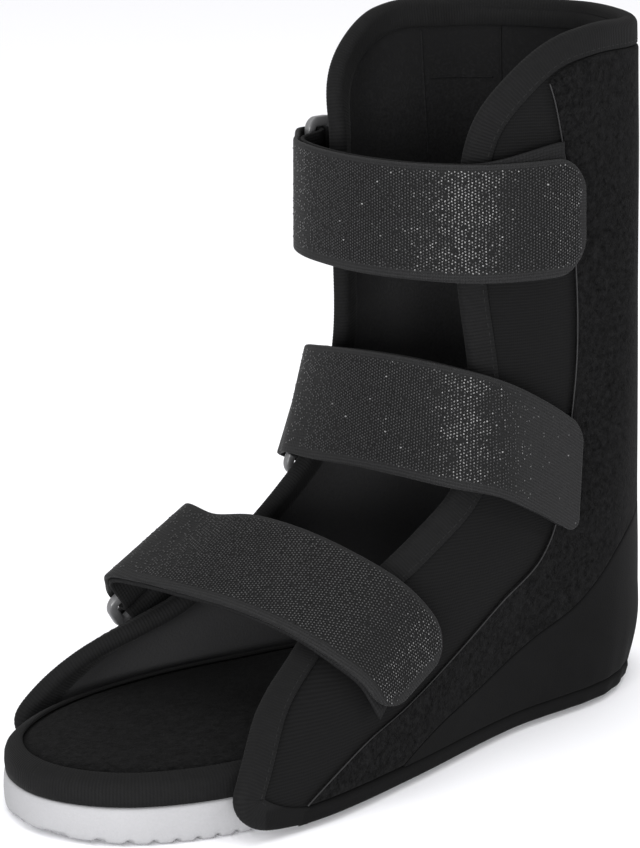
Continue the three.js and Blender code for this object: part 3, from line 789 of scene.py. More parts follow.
def inward_on_wall(stations):
    """Change of length round and height for one metre straight in from the edge, square to it on the wall."""
    point, along, up, normal = wall_frame(stations[:, 0], stations[:, 1])
    inward = np.cross(unit(np.gradient(point, axis=0)), normal)
    aa, au, uu = ((p * q).sum(-1) for p, q in ((along, along), (along, up), (up, up)))
    ia, iu = (inward * along).sum(-1), (inward * up).sum(-1)
    share = aa * uu - au * au
    ways = np.stack([(ia * uu - iu * au) / share, (iu * aa - ia * au) / share], axis=1)
    return ways, inward, normal, point


def leg(stations, ways, depths, out, lined=False):
    """Points of a tape leg: in from the edge by depths, and off the wall's outer or lined face by out."""
    a = stations[:, :1] + ways[:, :1] * depths
    z = np.clip(stations[:, 1:] + ways[:, 1:] * depths, HEM_Z / 2, None)
    return skin(a, z, -thickness(a, z) - out if lined else np.full(a.shape, out))


def edge_binding():
    """Outer leg, fold, inner leg and underside, point by point round the tape's section at each stop."""
    stations, length = edge_stations(RIB_PITCH / RIB_STEPS)
    ways, inward, normal, point = inward_on_wall(stations)
    clear_of_hem = smoothstep((stations[:, 1:] - HEM_Z) / (HEM_TOP - HEM_Z))
    reach = (TAPE_WIDTH - TUCK) * (HEM_REACH + (1 - HEM_REACH) * clear_of_hem)
    along = np.linspace(0, length, len(stations))
    full = smoothstep(np.minimum(along, length - along) / CORNER_FADE)[:, None, None]
    ripple = np.cos(2 * np.pi * np.arange(len(stations)) / RIB_STEPS)[:, None, None]
    rib = ripple * RIB_DEPTH * full
    middle = (point - normal * WALL_AT_EDGE / 2)[:, None]
    angle = np.linspace(0, np.pi, FOLD_STOPS)[:, None]
    depth_left = END_NOSE + (1 - END_NOSE) * full
    turn = np.cos(angle) * normal[:, None] - np.sin(angle) * depth_left * inward[:, None]
    depths = np.split(reach * LEG_DEPTHS, len(LEG_DEPTHS), axis=1)
    lifts = LEG_LIFTS * TAPE_THICK + GAP
    outside = [leg(stations, ways, depth, lift) for depth, lift in zip(depths, lifts)]
    inside = [leg(stations, ways, depth, lift, lined=True) for depth, lift in zip(depths, lifts)]
    wall_normal = normal[:, None]
    outer_leg = np.concatenate(outside, axis=1) + wall_normal * rib * LEG_RIBS
    inner_leg = np.concatenate(inside, axis=1) - wall_normal * rib * LEG_RIBS
    nose = middle + turn * (WALL_AT_EDGE / 2 + GAP + TAPE_THICK + rib)
    under = middle + turn[:, ::-2] * (WALL_AT_EDGE / 2 + GAP)
    under_in = leg(stations, ways, reach * UNDER_DEPTH, GAP, lined=True)
    under_out = leg(stations, ways, reach * UNDER_DEPTH, UNDER_GAP)
    section = np.concatenate([outer_leg, nose, inner_leg[:, ::-1], under_in, under, under_out], axis=1)
    rows, columns = section.shape[:2]
    across = lengths_along(section[len(section) // 4])
    lay = np.stack(np.broadcast_arrays(along[:, None], across[None]), axis=-1)
    quads = np.concatenate([grid_faces(rows, columns, loop_columns=True), end_caps(rows, columns)])
    made = piece("edge_binding_tape", section, quads, [tape], "edge_binding", lay)
    return length


print("binding tape", round(float(edge_binding()), 3), "m long")

# %% [markdown]
# ## Velour, heel cover and hem band
# Thin covers lie on the padding. The velour is a patch between four border curves drawn on the wall: the
# blend of the curves across and down, less what they share (a Coons patch). Heel cover and hem band are plain
# grids on the wall. The covers' edges are turned under, so their borders roll down to the wall.

# %% Patches and rolled borders
BORDER_THICK = 0.15 * MM  # what a cover keeps of its thickness at its border


def coons(front, rear, top, bottom, u, v):
    """Blend front and rear across v, add top and bottom blended down u, less the corners' own blend."""
    u, v = u[:, None, None], v[None, :, None]
    sides = front[:, None] * (1 - v) + rear[:, None] * v
    ends = top[None] * (1 - u) + bottom[None] * u
    corners = (front[0] * (1 - v) + rear[0] * v) * (1 - u) + (front[-1] * (1 - v) + rear[-1] * v) * u
    return sides + ends - corners


def rolled(count, width, radius):
    """Places from 0 to 1 that crowd at both ends, and the height of an edge rolled down with that radius."""
    close = np.array([0, 0.12, 0.45, 1.0]) * radius / width
    places = np.concatenate([close, np.linspace(close[-1], 1 - close[-1], count)[1:-1], 1 - close[::-1]])
    inside = np.minimum(places, 1 - places) * width / radius
    return places, np.sqrt(1 - (1 - np.clip(inside, 0, 1)) ** 2)


def at_places(path, places):
    """Points of a path at shares of its length."""
    lengths = lengths_along(path)
    return at_lengths(path, lengths, places * lengths[-1])


def cover_sheet(a, z, lift):
    """A closed thin sheet over the wall: its back at the gap, its front out from there by border and lift."""
    soft = softness(a, z)
    front = skin(a, z, GAP + BORDER_THICK + lift + soft)
    back = skin(a, z, GAP + soft)
    quads, _ = sheet_faces(*a.shape)
    lay = np.tile(np.stack([a, z], axis=-1).reshape(-1, 2), (2, 1))
    points = np.concatenate([front.reshape(-1, 3), back.reshape(-1, 3)])
    return points, quads, lay


def area_of(points):
    """Area of a grid's quads, each from its diagonals."""
    one = points[1:, 1:] - points[:-1, :-1]
    other = points[1:, :-1] - points[:-1, 1:]
    return float(np.linalg.norm(np.cross(one, other), axis=-1).sum() / 2)


print("an edge rolls up as", rolled(count=4, width=0.1, radius=0.002)[1][:4].round(2))

# %% Velour
SEAM_GAP = 0.5 * MM
VELOUR_ROLL = 1.2 * MM  # radius of its turned-under borders
BACK_JOIN = 3 * MM  # nearer to the back line than this, the two halves join and do not roll
BACK_STOPS = 100
OFF_BACK = 0.05 * MM  # the heel seam starts this far ahead of the back line


def velour_borders():
    """Front seam, rear line (down the back, then along the heel seam), top by the tape, bottom at the hem."""
    tape_line = moved_in(edge_side, TAPE_WIDTH + GAP)
    seam = smooth_path(VELOUR_SEAM, PATH_STEPS)
    apart = np.linalg.norm(seam[:, None] - edge_side[None, ::4], axis=-1).min(axis=1)
    seam = seam[np.argmax(apart > TAPE_WIDTH + GAP):]
    seam = seam[seam[:, 1] > HEM_TOP + SEAM_GAP]
    front = wall_path(seam)
    top = tape_line[(tape_line[:, 0] < seam[0, 0]) & (tape_line[:, 1] > seam[0, 1])]
    top = wall_path(top)
    top = np.concatenate([front[:1], top, [[0, top[-1, 1]]]])
    heel = heel_line(0.0)
    down = np.linspace(top[-1, 1], heel[0, 1], BACK_STOPS)
    back = np.stack([np.zeros(BACK_STOPS), down], axis=1)
    rear = np.concatenate([back[:-1], heel])
    bottom = np.stack([front[-1], rear[-1]])
    return front, rear, top, bottom


def heel_line(drop):
    """The heel seam on the wall, from the back line to the hem band, lowered by drop."""
    seam = smooth_path(HEEL_SEAM, PATH_STEPS) - (0, drop)
    back_x = wall(np.zeros(len(seam)), seam[:, 1])[:, 0]
    seam = seam[(seam[:, 0] > back_x + OFF_BACK) & (seam[:, 1] > HEM_TOP + SEAM_GAP)]
    line = wall_path(seam)
    return np.concatenate([[[0, line[0, 1]]], line])


def velour_panel():
    """The left patch and its mirror image, joined along the back line."""
    front, rear, top, bottom = velour_borders()
    u, down = rolled(count=120, width=0.4, radius=VELOUR_ROLL)
    v, across = rolled(count=60, width=0.12, radius=VELOUR_ROLL)
    grid = coons(at_places(front, u), at_places(rear, u), at_places(top, v), at_places(bottom, v), u, v)
    a, z = grid[..., 0], grid[..., 1]
    on_back = smoothstep((BACK_JOIN - at_places(rear, u)[:, :1]) / BACK_JOIN)
    free = np.where(v[None] > 0.5, np.maximum(across[None], on_back), across[None])
    lift = SKIN * np.minimum(down[:, None], free)
    halves = [cover_sheet(side * a, z, lift) for side in (1, -1)]
    points = np.concatenate([h[0] for h in halves])
    quads = np.concatenate([halves[0][1], halves[1][1][:, ::-1] + len(halves[0][0])])
    lay = np.concatenate([h[2] for h in halves])
    made = piece("velour_cover", points, quads, [velour], "velour_panel", lay, merge=True)
    middle = skin(a, z, np.full(a.shape, GAP + SKIN / 2))
    area = 2 * area_of(middle)


velour_panel()

# %% Heel cover and hem band
HEEL_ROLL, HEM_END_ROLL, HEM_ROLL = 1.1 * MM, 1.5 * MM, 1.6 * MM  # radii of the turned-under borders
HEM_THICK, HEM_START = 2 * MM, 160 * MM
HEM_TAPER, HEM_END_SHARE = 24 * MM, 0.6  # the strip thins to this share where the tape turns the corner
PUCKER_DEPTH, PUCKER_PITCH = 0.55, 14 * MM  # share of a cover's thickness, and length of a gather
PUCKER_REACH, PUCKER_RISE = 75 * MM, 14 * MM  # over which the gathers die out, forwards and upwards


def heel_pucker(a, z):
    """Small upright gathers round the heel, strongest at the hem: a ripple in a, fading up and forwards."""
    round_heel = np.exp(-((a / PUCKER_REACH) ** 2))
    low = np.exp(-z / PUCKER_RISE)
    ripple = np.sin(2 * np.pi * a / PUCKER_PITCH + 0.6 * np.sin(a / 0.02))
    return PUCKER_DEPTH * round_heel * low * ripple


def heel_cover():
    """Columns from the heel seam down to the hem band, on one side, round the heel and on the other."""
    line = heel_line(SEAM_GAP)
    line = line[line[:, 1] > HEM_TOP + 2 * SEAM_GAP]
    half = evenly(line, count=90)
    top = np.concatenate([half[::-1], half[1:] * (-1, 1)])
    rows, down = rolled(count=30, width=0.06, radius=HEEL_ROLL)
    base = HEM_TOP + SEAM_GAP
    a = np.repeat(top[None, :, 0], len(rows), axis=0)
    z = top[None, :, 1] + (base - top[None, :, 1]) * rows[:, None]
    pucker = heel_pucker(a, z)
    lift = SKIN * np.repeat(down[:, None], len(top), axis=1) * (1 + pucker)
    points, quads, lay = cover_sheet(a, z, lift)
    made = piece("heel_knit", points, quads, [knit], "heel_cover", lay)
    middle = skin(a, z, np.full(a.shape, GAP + SKIN / 2))
    area_of(middle)


def hem_band():
    """A strip of even height round the hem, gathered at the heel like the cover above it."""
    start = on_wall(np.array([HEM_START]), np.array([HEM_TOP]))[0]
    u, ends = rolled(count=420, width=2 * start, radius=HEM_END_ROLL)
    v, rim = rolled(count=10, width=HEM_TOP - HEM_Z, radius=HEM_ROLL)
    a, z = np.meshgrid(start * (1 - 2 * u), HEM_TOP - (HEM_TOP - HEM_Z) * v, indexing="ij")
    lift = HEM_THICK * np.minimum(ends[:, None], rim[None]) * (1 + 0.5 * heel_pucker(a, 0 * z))
    lift = lift * (HEM_END_SHARE + (1 - HEM_END_SHARE) * smoothstep((start - np.abs(a)) / HEM_TAPER))
    points, quads, lay = cover_sheet(a, z, lift)
    made = piece("hem_strip", points, quads, [knit], "hem_band", lay)
    return made


heel_cover()
hem_band()

# %% [markdown]
# ## Piping and lining seams
# A thin cord is sewn into the seam in front of the velour and shines as a fine line. Inside, two seams and
# the edge of a pocket show as ridges of the lining. All are round cords that follow lines drawn on the wall.

# %% Cords
# length round and height of one end, then of the other
LINING_SEAMS = MM * np.array([[-38, 180, -38, 283], [-80, 180, -80, 280], [-76, 259, -42, 259]])
PIPING, LINING_CORD = 0.3 * MM, 0.6 * MM  # radii of the cords
SUNK = 0.7  # share of its radius by which the piping lies below the velour's face
CORD_SIDES = 8


def cord(name, line, normals, radius, finish):
    """A round cord along a line: circles square to it, with closed ends."""
    side = np.cross(normals, unit(np.gradient(line, axis=0)))
    angle = np.linspace(0, 2 * np.pi, CORD_SIDES, endpoint=False)[:, None]
    rings = line[:, None] + radius * (np.cos(angle) * normals[:, None] + np.sin(angle) * side[:, None])
    ends = end_caps(len(line), CORD_SIDES)
    quads = np.concatenate([grid_faces(len(line), CORD_SIDES, loop_columns=True), ends])
    return piece(name, rings, quads, [finish])


def seam_cords():
    """Piping on both sides, just ahead of the velour, and half-sunk cords on the lining."""
    seam = evenly(velour_borders()[0], count=420) + (PIPING, 0)
    for side, name in ((1, "left_piping"), (-1, "right_piping")):
        point, _, _, normal = wall_frame(side * seam[:, 0], seam[:, 1])
        line = point + normal * (GAP + SKIN - SUNK * PIPING)
        cord(name, line, normal, PIPING, piping)
    for number, (a0, z0, a1, z1) in enumerate(LINING_SEAMS):
        a, z = np.linspace(a0, a1, 80), np.linspace(z0, z1, 80)
        point, _, _, normal = wall_frame(a, z)
        line = point - normal * thickness(a, z)[:, None]
        cord(f"lining_seam_{number}", line, normal, LINING_CORD, lining)


seam_cords()

# %% [markdown]
# ## Sole
# The sole is a pale foam slab with a grooved tread and a slight rise under the toes. A boolean cut for each
# groove would leave ragged faces. Instead, a row of the grid goes once round the cross-section at each stop
# of the outline, and the tread is a height added to its lowest points: one closed skin.

# %% Sole outline and sections
SOLE_OUTLINE = MM * np.array([
    [235, 0], [231, 19], [219, 36.5], [197, 50.5], [166, 59], [123, 60], [80, 53], [42, 45.5], [-1, 42.5],
    [-40, 38.5], [-65, 26.5], [-79.5, 14.5], [-87, 0],
])
SOLE_THICK = 15 * MM
TOE_SPRING, TOE_SPRING_FROM = 1.6 * MM, 190 * MM
TREAD_PITCH, TREAD_WIDTH, TREAD_DEPTH = 7.5 * MM, 2.6 * MM, 1.6 * MM
PLAIN_SHANK = 16 * MM  # no groove nearer to the ankle's cross line than this
GROOVED_HEIGHT = 3 * MM  # up to which the grooves notch the sole's side
OUTLINE_STEPS = 60  # points between two stops of the outline
CROWDING = 0.6  # 0 spreads the rows evenly, 1 packs them most at toe and heel
MID_SOLE = np.array([0.07, 0.0])
# inset from the outline and height, up the sole's side
SOLE_SIDE = MM * np.array([
    [2.4, 0.0], [1.0, 0.35], [0.3, 1.3], [0, 3], [-0.25, 7.5], [0, 12.5], [0.25, 14.2], [1.0, 15],
])


def half_outline(count):
    """Points of the left half outline from toe to heel, crowded at the ends, and the way in from each."""
    mirrored = SOLE_OUTLINE * (1, -1)
    whole = np.concatenate([mirrored[2:0:-1], SOLE_OUTLINE, mirrored[-2:-4:-1]])
    path = smooth_path(whole, OUTLINE_STEPS)[2 * OUTLINE_STEPS:-2 * OUTLINE_STEPS]
    lengths = lengths_along(path)
    spread = np.linspace(0, 1, count)
    places = spread - np.sin(2 * np.pi * spread) / (2 * np.pi) * CROWDING
    at = places * lengths[-1]
    points = at_lengths(path, lengths, at)
    way = unit(at_lengths(np.gradient(path, lengths, axis=0), lengths, at))
    inward = np.stack([way[:, 1], -way[:, 0]], axis=1)
    inward *= np.sign((inward * (MID_SOLE - points)).sum(axis=1))[:, None]
    return points, inward


def section_rows(points, inward, profile, columns, crown=None):
    """Closed rows: across the bottom, up the left side by inset and height, over the top, down the right."""
    inset, height = profile[:, 0], profile[:, 1]
    side = points[:, None] + inward[:, None] * inset[:, None]
    left = np.concatenate([side, np.broadcast_to(height[:, None], (*side.shape[:2], 1))], axis=-1)
    right = left * (1, -1, 1)
    across = np.linspace(0, 1, columns + 2)[1:-1, None]
    bottom = right[:, :1] * (1 - across) + left[:, :1] * across
    top = left[:, -1:] * (1 - across) + right[:, -1:] * across
    if crown:
        top[..., 2] += crown(top, across[None, :, 0])
    return np.concatenate([bottom, left, top, right[:, ::-1]], axis=1)


def tread(x):
    """Depth of the tread at x: rounded cross grooves, with none under the ankle."""
    part = np.abs((x / TREAD_PITCH + 0.5) % 1 - 0.5) * TREAD_PITCH
    groove = smoothstep((TREAD_WIDTH / 2 + 0.4 * MM - part) / (0.8 * MM))
    return TREAD_DEPTH * groove * (np.abs(x) > PLAIN_SHANK)


def outsole():
    """Closed rows, raised towards the toe by the square of how far ahead they are, and by the tread."""
    points, inward = half_outline(count=620)
    rows = section_rows(points, inward, SOLE_SIDE, columns=12)
    share = 1 - rows[..., 2] / SOLE_THICK
    ahead = (rows[..., 0] - TOE_SPRING_FROM) / (SOLE_OUTLINE[0, 0] - TOE_SPRING_FROM)
    low = np.clip(1 - rows[..., 2] / GROOVED_HEIGHT, 0, 1)
    rows[..., 2] += share * TOE_SPRING * np.clip(ahead, 0, 1) ** 2 + low * tread(rows[..., 0])
    quads = grid_faces(*rows.shape[:2], loop_columns=True)
    return piece("foam_sole", rows, quads, [foam], "outsole", merge=True)


outsole()

# %% [markdown]
# ## Footbed and its tape
# The foot stands on a thin velour pad. The same ribbed tape folds over its edge, so the pad is squeezed there
# and swells towards the middle. Pad and tape follow the sole's outline, so they reuse its helper.

# %% Footbed
FOOTBED_Z = SOLE_THICK + GAP
FOOTBED_CROWN = 2.6 * MM
FULL_CROWN = 30 * MM  # the crown is lower where the pad's half width is less than this
# inset from the outline and height over the sole: up the pad's side, and round the tape's section
FOOTBED_SIDE = MM * np.array([[2.2, 0], [2.2, 5.8], [2.6, 7], [4.2, 8.2], [7.6, 9.6]])
FOOTBED_TAPE = MM * np.array([
    [0.55, 0.2], [0.25, 3.4], [0.4, 6.4], [1.1, 8.4], [2.6, 9.7], [5, 10.9], [7.2, 11.75], [7.6, 11.3],
    [7.3, 10.4], [5, 9.5], [3, 8.4], [2, 7], [1.7, 5.6], [1.7, 0.2],
])
TAPE_RIBS = np.array([0.3, 1, 1, 1, 1, 1, 0.8, 0.2, 0, 0, 0, 0, 0, 0])[:, None] * RIB_DEPTH
LAY_STEP = 1.4 * MM  # of the tape's lay from point to point of the section
RIBS_RISE_FROM, RIBS_RISE_OVER = 7 * MM, 4 * MM  # heights where the ribs start to swell the tape upwards


def footbed_crown(top, across):
    """Height of the pad's swell: half an ellipse across, a little uneven, and less where it is narrow."""
    swell = np.sqrt(np.clip(1 - (2 * across - 1) ** 2, 0, 1))
    wide = np.clip(np.abs(top[:, :1, 1]) / FULL_CROWN, 0, 1)
    ripple = softness(3 * top[..., 0], 3 * top[..., 1])
    return (FOOTBED_CROWN * swell + 0.5 * ripple) * wide


def footbed():
    """Closed rows like the sole's, with a crowned top."""
    points, inward = half_outline(count=260)
    profile = FOOTBED_SIDE + (0, FOOTBED_Z)
    rows = section_rows(points, inward, profile, columns=40, crown=footbed_crown)
    quads = grid_faces(*rows.shape[:2], loop_columns=True)
    made = piece("velour_footbed", rows, quads, [velour], "footbed", merge=True)
    return made


def footbed_tape():
    """The tape's section, by inset and height, carried round the whole outline with ribs that swell it."""
    inset, height = FOOTBED_TAPE[:, :1], FOOTBED_TAPE[None, :, 1:]
    half, way = half_outline(count=1500)
    points = np.concatenate([half, half[-2:0:-1] * (1, -1)])
    inward = np.concatenate([way, way[-2:0:-1] * (1, -1)])
    closed = np.concatenate([points, points[:1]])
    lengths = lengths_along(closed)
    total = float(lengths[-1])
    count = int(total / RIB_PITCH) * RIB_STEPS
    at = np.arange(count) / count * total
    loop = at_lengths(closed, lengths, at)
    inward = unit(at_lengths(np.concatenate([inward, inward[:1]]), lengths, at))
    rib = np.cos(2 * np.pi * np.arange(count) / RIB_STEPS)[:, None, None] * TAPE_RIBS
    flat = loop[:, None] + inward[:, None] * (inset - rib)
    up = height + FOOTBED_Z + rib * smoothstep((height - RIBS_RISE_FROM) / RIBS_RISE_OVER)
    rows = np.concatenate([flat, up], axis=-1)
    columns = len(FOOTBED_TAPE)
    lay = np.stack(np.broadcast_arrays(at[:, None], np.arange(columns)[None] * LAY_STEP), axis=-1)
    quads = grid_faces(count, columns, loop_rows=True, loop_columns=True)
    made = piece("footbed_tape", rows, quads, [tape], "footbed_binding", lay)
    return total


footbed()
print("footbed tape", round(footbed_tape(), 3), "m long")

# %% [markdown]
# ## Hooks
# The straps glint because their face is a field of tiny nylon hooks with plain borders. A bump alone would
# stay dull, so each hook is a small flat-topped mushroom, copied by arrays. Every cap leans its own way and
# so catches the light from its own place: only where the webbing faces the lamp do many of them flash.

# %% Hook field
STRAP_THICK = 2 * MM
HOOK_ALONG, HOOK_ACROSS = 1.3 * MM, 1.25 * MM
UPPER_SELVAGE, LOWER_SELVAGE = 2.4 * MM, 4.2 * MM
BARE, GROWING = 9 * MM, 60 * MM  # no hooks right after the turn, then few and low ones
# of the root, the cap's rim and its flat top
HOOK_HALF_WIDTHS, HOOK_HEIGHTS = MM * np.array([[0.14, 0.3, 0.27], [-0.1, 0.34, 0.46]])
HOOK_SEED, OFF_PLACE = 7, 0.2  # a hook stands up to this many millimetres off its place
HOOKS_END = 1.2 * MM  # before the tip
LOW_HOOK = 0.3  # share of its height that a hook has where none are grown
STRAY, GROWN = 0.02, 0.93  # share of hooks kept where none are grown, and how many more where all are
STEEPEST = 0.8  # slope of a cap
WAVE_ALONG, WAVE_ACROSS = 4.5 * MM, 8 * MM  # lengths of the slow waves, over a full turn
# slopes of the caps: each its own along and across, one shared by a row, one of slow waves, and one of all
LEAN_ALONG, LEAN_ACROSS, ROW_LEAN, WAVE_LEAN, DROOP = 0.08, 0.06, 0.03, 0.045, 0.09


def grown_share(at, start, stop, plain_end):
    """How grown the hooks are, 0 to 1: they begin after the turn and die out before the plain free end."""
    return smoothstep((at - start - BARE) / GROWING) * smoothstep(2 * (stop - at) / plain_end - 1)


def hook_form():
    """Rings of a small mushroom, from its root up to its cap: along, across and height of each corner."""
    square = np.array([[-1, -1], [1, -1], [1, 1], [-1, 1]])
    sizes = zip(HOOK_HALF_WIDTHS, HOOK_HEIGHTS)
    rings = [np.column_stack([square * half, np.full(4, height)]) for half, height in sizes]
    faces = np.concatenate([grid_faces(3, 4, loop_columns=True), [[8, 9, 10, 11], [3, 2, 1, 0]]])
    return np.concatenate(rings), faces


def hook_field(name, at, up, low, out, share, start, stop, plain_end):
    """Hooks in staggered rows over the outer layer, inside its selvages, each a little off its place."""
    rng = np.random.default_rng(HOOK_SEED)
    wide = np.linalg.norm(low - up, axis=1).mean()
    rows = np.arange(start + BARE, stop - HOOKS_END, HOOK_ALONG)
    columns = np.arange(UPPER_SELVAGE, wide - LOWER_SELVAGE, HOOK_ACROSS)
    s, w = np.meshgrid(rows, columns, indexing="ij")
    w = w + (np.arange(len(s)) % 2)[:, None] * HOOK_ACROSS / 2
    lean = rng.standard_t(3, (*s.shape, 2)) * (LEAN_ALONG, LEAN_ACROSS) + (0, DROOP)
    lean = lean + rng.normal(0, ROW_LEAN, (1, s.shape[1], 2))
    lean[..., 0] += WAVE_LEAN * np.sin(s / WAVE_ALONG + 2.5 * np.sin(w / WAVE_ACROSS))
    lean = np.clip(lean, -STEEPEST, STEEPEST)
    s = (s + rng.uniform(-OFF_PLACE, OFF_PLACE, s.shape) * MM).ravel()
    w, lean = w.ravel(), lean.reshape(-1, 2)
    room = np.interp(s, at, share) * wide / 2 - UPPER_SELVAGE * 0.6
    grown = grown_share(s, start, stop, plain_end)
    kept = (np.abs(w - wide / 2) < room) & (rng.random(len(s)) < STRAY + GROWN * grown)
    s, w, lean, grown = s[kept], w[kept], lean[kept], grown[kept]
    here = at_lengths(up, at, s) + at_lengths(low - up, at, s) * (w / wide)[:, None]
    normal = unit(at_lengths(out, at, s))
    across = unit(at_lengths(low - up, at, s))
    along = np.cross(normal, across)
    form, faces = hook_form()
    height = form[:, 2] * (LOW_HOOK + (1 - LOW_HOOK) * grown)[:, None] + lean @ form[:, :2].T
    points = here[:, None] + normal[:, None] * (height + STRAP_THICK / 2)[..., None]
    points = points + along[:, None] * form[:, 0, None] + across[:, None] * form[:, 1, None]
    quads = (faces[None] + np.arange(len(s))[:, None, None] * len(form)).reshape(-1, 4)
    return piece(name, points, quads, [hook_nylon], smooth=False)


print("a hook has", len(hook_form()[1]), "faces")

# %% [markdown]
# ## Straps
# Each strap is sewn to the left wall, crosses the open front, turns round a ring and comes back over itself
# to a rounded tip. Webbing keeps its width, so a strap is a ruled band between two rails. Remeshing or cloth
# would erase its crisp borders, so the band is computed with its two layers, its turn and its thickness.

# %% Rails and bands
RING_BAR, RING_SLOT, RING_SPAN = 3.6 * MM, 49 * MM, 12 * MM
RING_FLATNESS = 1.25  # the bar is this much wider than it is thick
LAYER_OFFSET = STRAP_THICK / 2 + GAP
LOOSE = 1.05 * MM  # by which the soft fold stands off the bar
TURN_RADIUS = RING_BAR * math.sqrt(0.5) + GAP + LOOSE + STRAP_THICK / 2
OPENING_LENGTH = 16 * MM  # over which the two layers part before the ring
RISE_LENGTH = 45 * MM  # over which the sewn end's rise dies out
RAIL_STEPS = 40  # points between two stops of a rail
# corner radius of the free end, where the under layer starts at its upper and at its lower border, how far
# its end is turned up, and the length of the free end over which the hooks die out; then x, y and z of the
# upper border and of the lower one, from the free end to the ring; then the same for the tab, towards it
STRAPS = {
    "top": ((16, 9, 9, 6, 5), [
        [-2.5, 62.8, 242, -5, 61.8, 194], [24, 60, 242, 22, 59.5, 194], [44, 48, 241.5, 43, 48, 194],
        [56, 26, 241, 55, 26, 194], [60, 2, 241, 60, 2, 194], [58, -20, 241, 58, -20, 194],
        [54, -38, 241.5, 54, -38, 194.5], [46.5, -50.5, 241.5, 46.5, -50.5, 195],
        [31, -60, 242.5, 31, -60, 195],
    ], [
        [-26, -61.2, 242, -26, -60, 194.5], [-7, -63.6, 242, -7, -62.4, 194.5],
    ]),
    "middle": ((8, 9, 9, 0, 62), [
        [-8, 59.5, 129, -5, 60.3, 83.5], [16, 58.5, 144, 20, 61, 97.5], [37, 53.5, 155, 40, 58.5, 107.5],
        [48.5, 42, 159.5, 54, 46.5, 111.5], [55, 22, 161.5, 59, 22, 113], [57, 0, 161, 61, -2, 113],
        [54, -22, 158.5, 60, -25, 111], [46.5, -43.5, 154.5, 55.8, -48.3, 109],
        [27, -58, 143.5, 45, -58, 103],
    ], [
        [-25, -58.8, 116.5, -6.5, -60.5, 74.5], [-8, -60.5, 124, 10.5, -62, 82],
    ]),
    "lower": ((15, 13, 1, 0, 5), [
        [73, 64.3, 53, 117, 71.2, 34], [82, 60, 69.5, 124, 66.5, 49], [89, 53, 80, 129, 57, 56.5],
        [96, 35, 89, 134.5, 39, 65], [102, 10, 95.5, 140, 12, 70.5], [106, -14, 97, 144, -14, 72],
        [108.5, -35, 93.6, 147, -37, 72.5], [108, -51, 94.6, 147.5, -57, 70.2],
        [97.5, -61.5, 82.5, 134, -68.5, 56],
    ], [
        [73, -68, 45, 109.5, -74, 18.5], [80, -67, 53.5, 116, -74, 27],
    ]),
}


def band(rails):
    """The borders as smooth curves, the way along them, and the way out: along crossed with across."""
    up, low = smooth_path(rails[:, :3], RAIL_STEPS), smooth_path(rails[:, 3:], RAIL_STEPS)
    along = unit(unit(np.gradient(up, axis=0)) + unit(np.gradient(low, axis=0)))
    return up, low, along, unit(np.cross(along, low - up))


def doubled(rails, sewn_up, sewn_low, rise):
    """Both layers of a band folded round a bar at its end: borders and outward way, sewn end to free end."""
    up, low, along, out = band(rails)
    reach = lengths_along((up + low) / 2)
    parting = smoothstep(1 + (reach - reach[-1]) / OPENING_LENGTH)
    shift = (LAYER_OFFSET + (TURN_RADIUS - LAYER_OFFSET) * parting)[:, None] * out
    turned_up = rise * smoothstep(1 - (reach - sewn_up) / RISE_LENGTH)[:, None] * unit(up - low)

    def from_seam(values, sewn):
        """The values at stops spread evenly from the sewn end to the ring."""
        return at_lengths(values, reach, sewn + (reach[-1] - sewn) * np.linspace(0, 1, len(reach)))

    angle = np.linspace(-np.pi / 2, np.pi / 2, 16)[1:-1, None]
    swing = np.cos(angle) * along[-1] + np.sin(angle) * out[-1]
    under_up = from_seam(up - shift + turned_up, sewn_up)
    under_low = from_seam(low - shift + turned_up, sewn_low)
    upper = np.concatenate([under_up, up[-1] + TURN_RADIUS * swing, (up + shift)[::-1]])
    lower = np.concatenate([under_low, low[-1] + TURN_RADIUS * swing, (low + shift)[::-1]])
    facing = np.concatenate([-from_seam(out, (sewn_up + sewn_low) / 2), swing, out[::-1]])
    return upper, lower, facing, len(reach) + len(angle)


STRAP_ROWS, TAB_ROWS, BAND_COLUMNS, CORNER_ROWS = 190, 90, 22, 18
BORDER_SHARE = 0.25  # of its thickness, which webbing keeps at its borders and ends


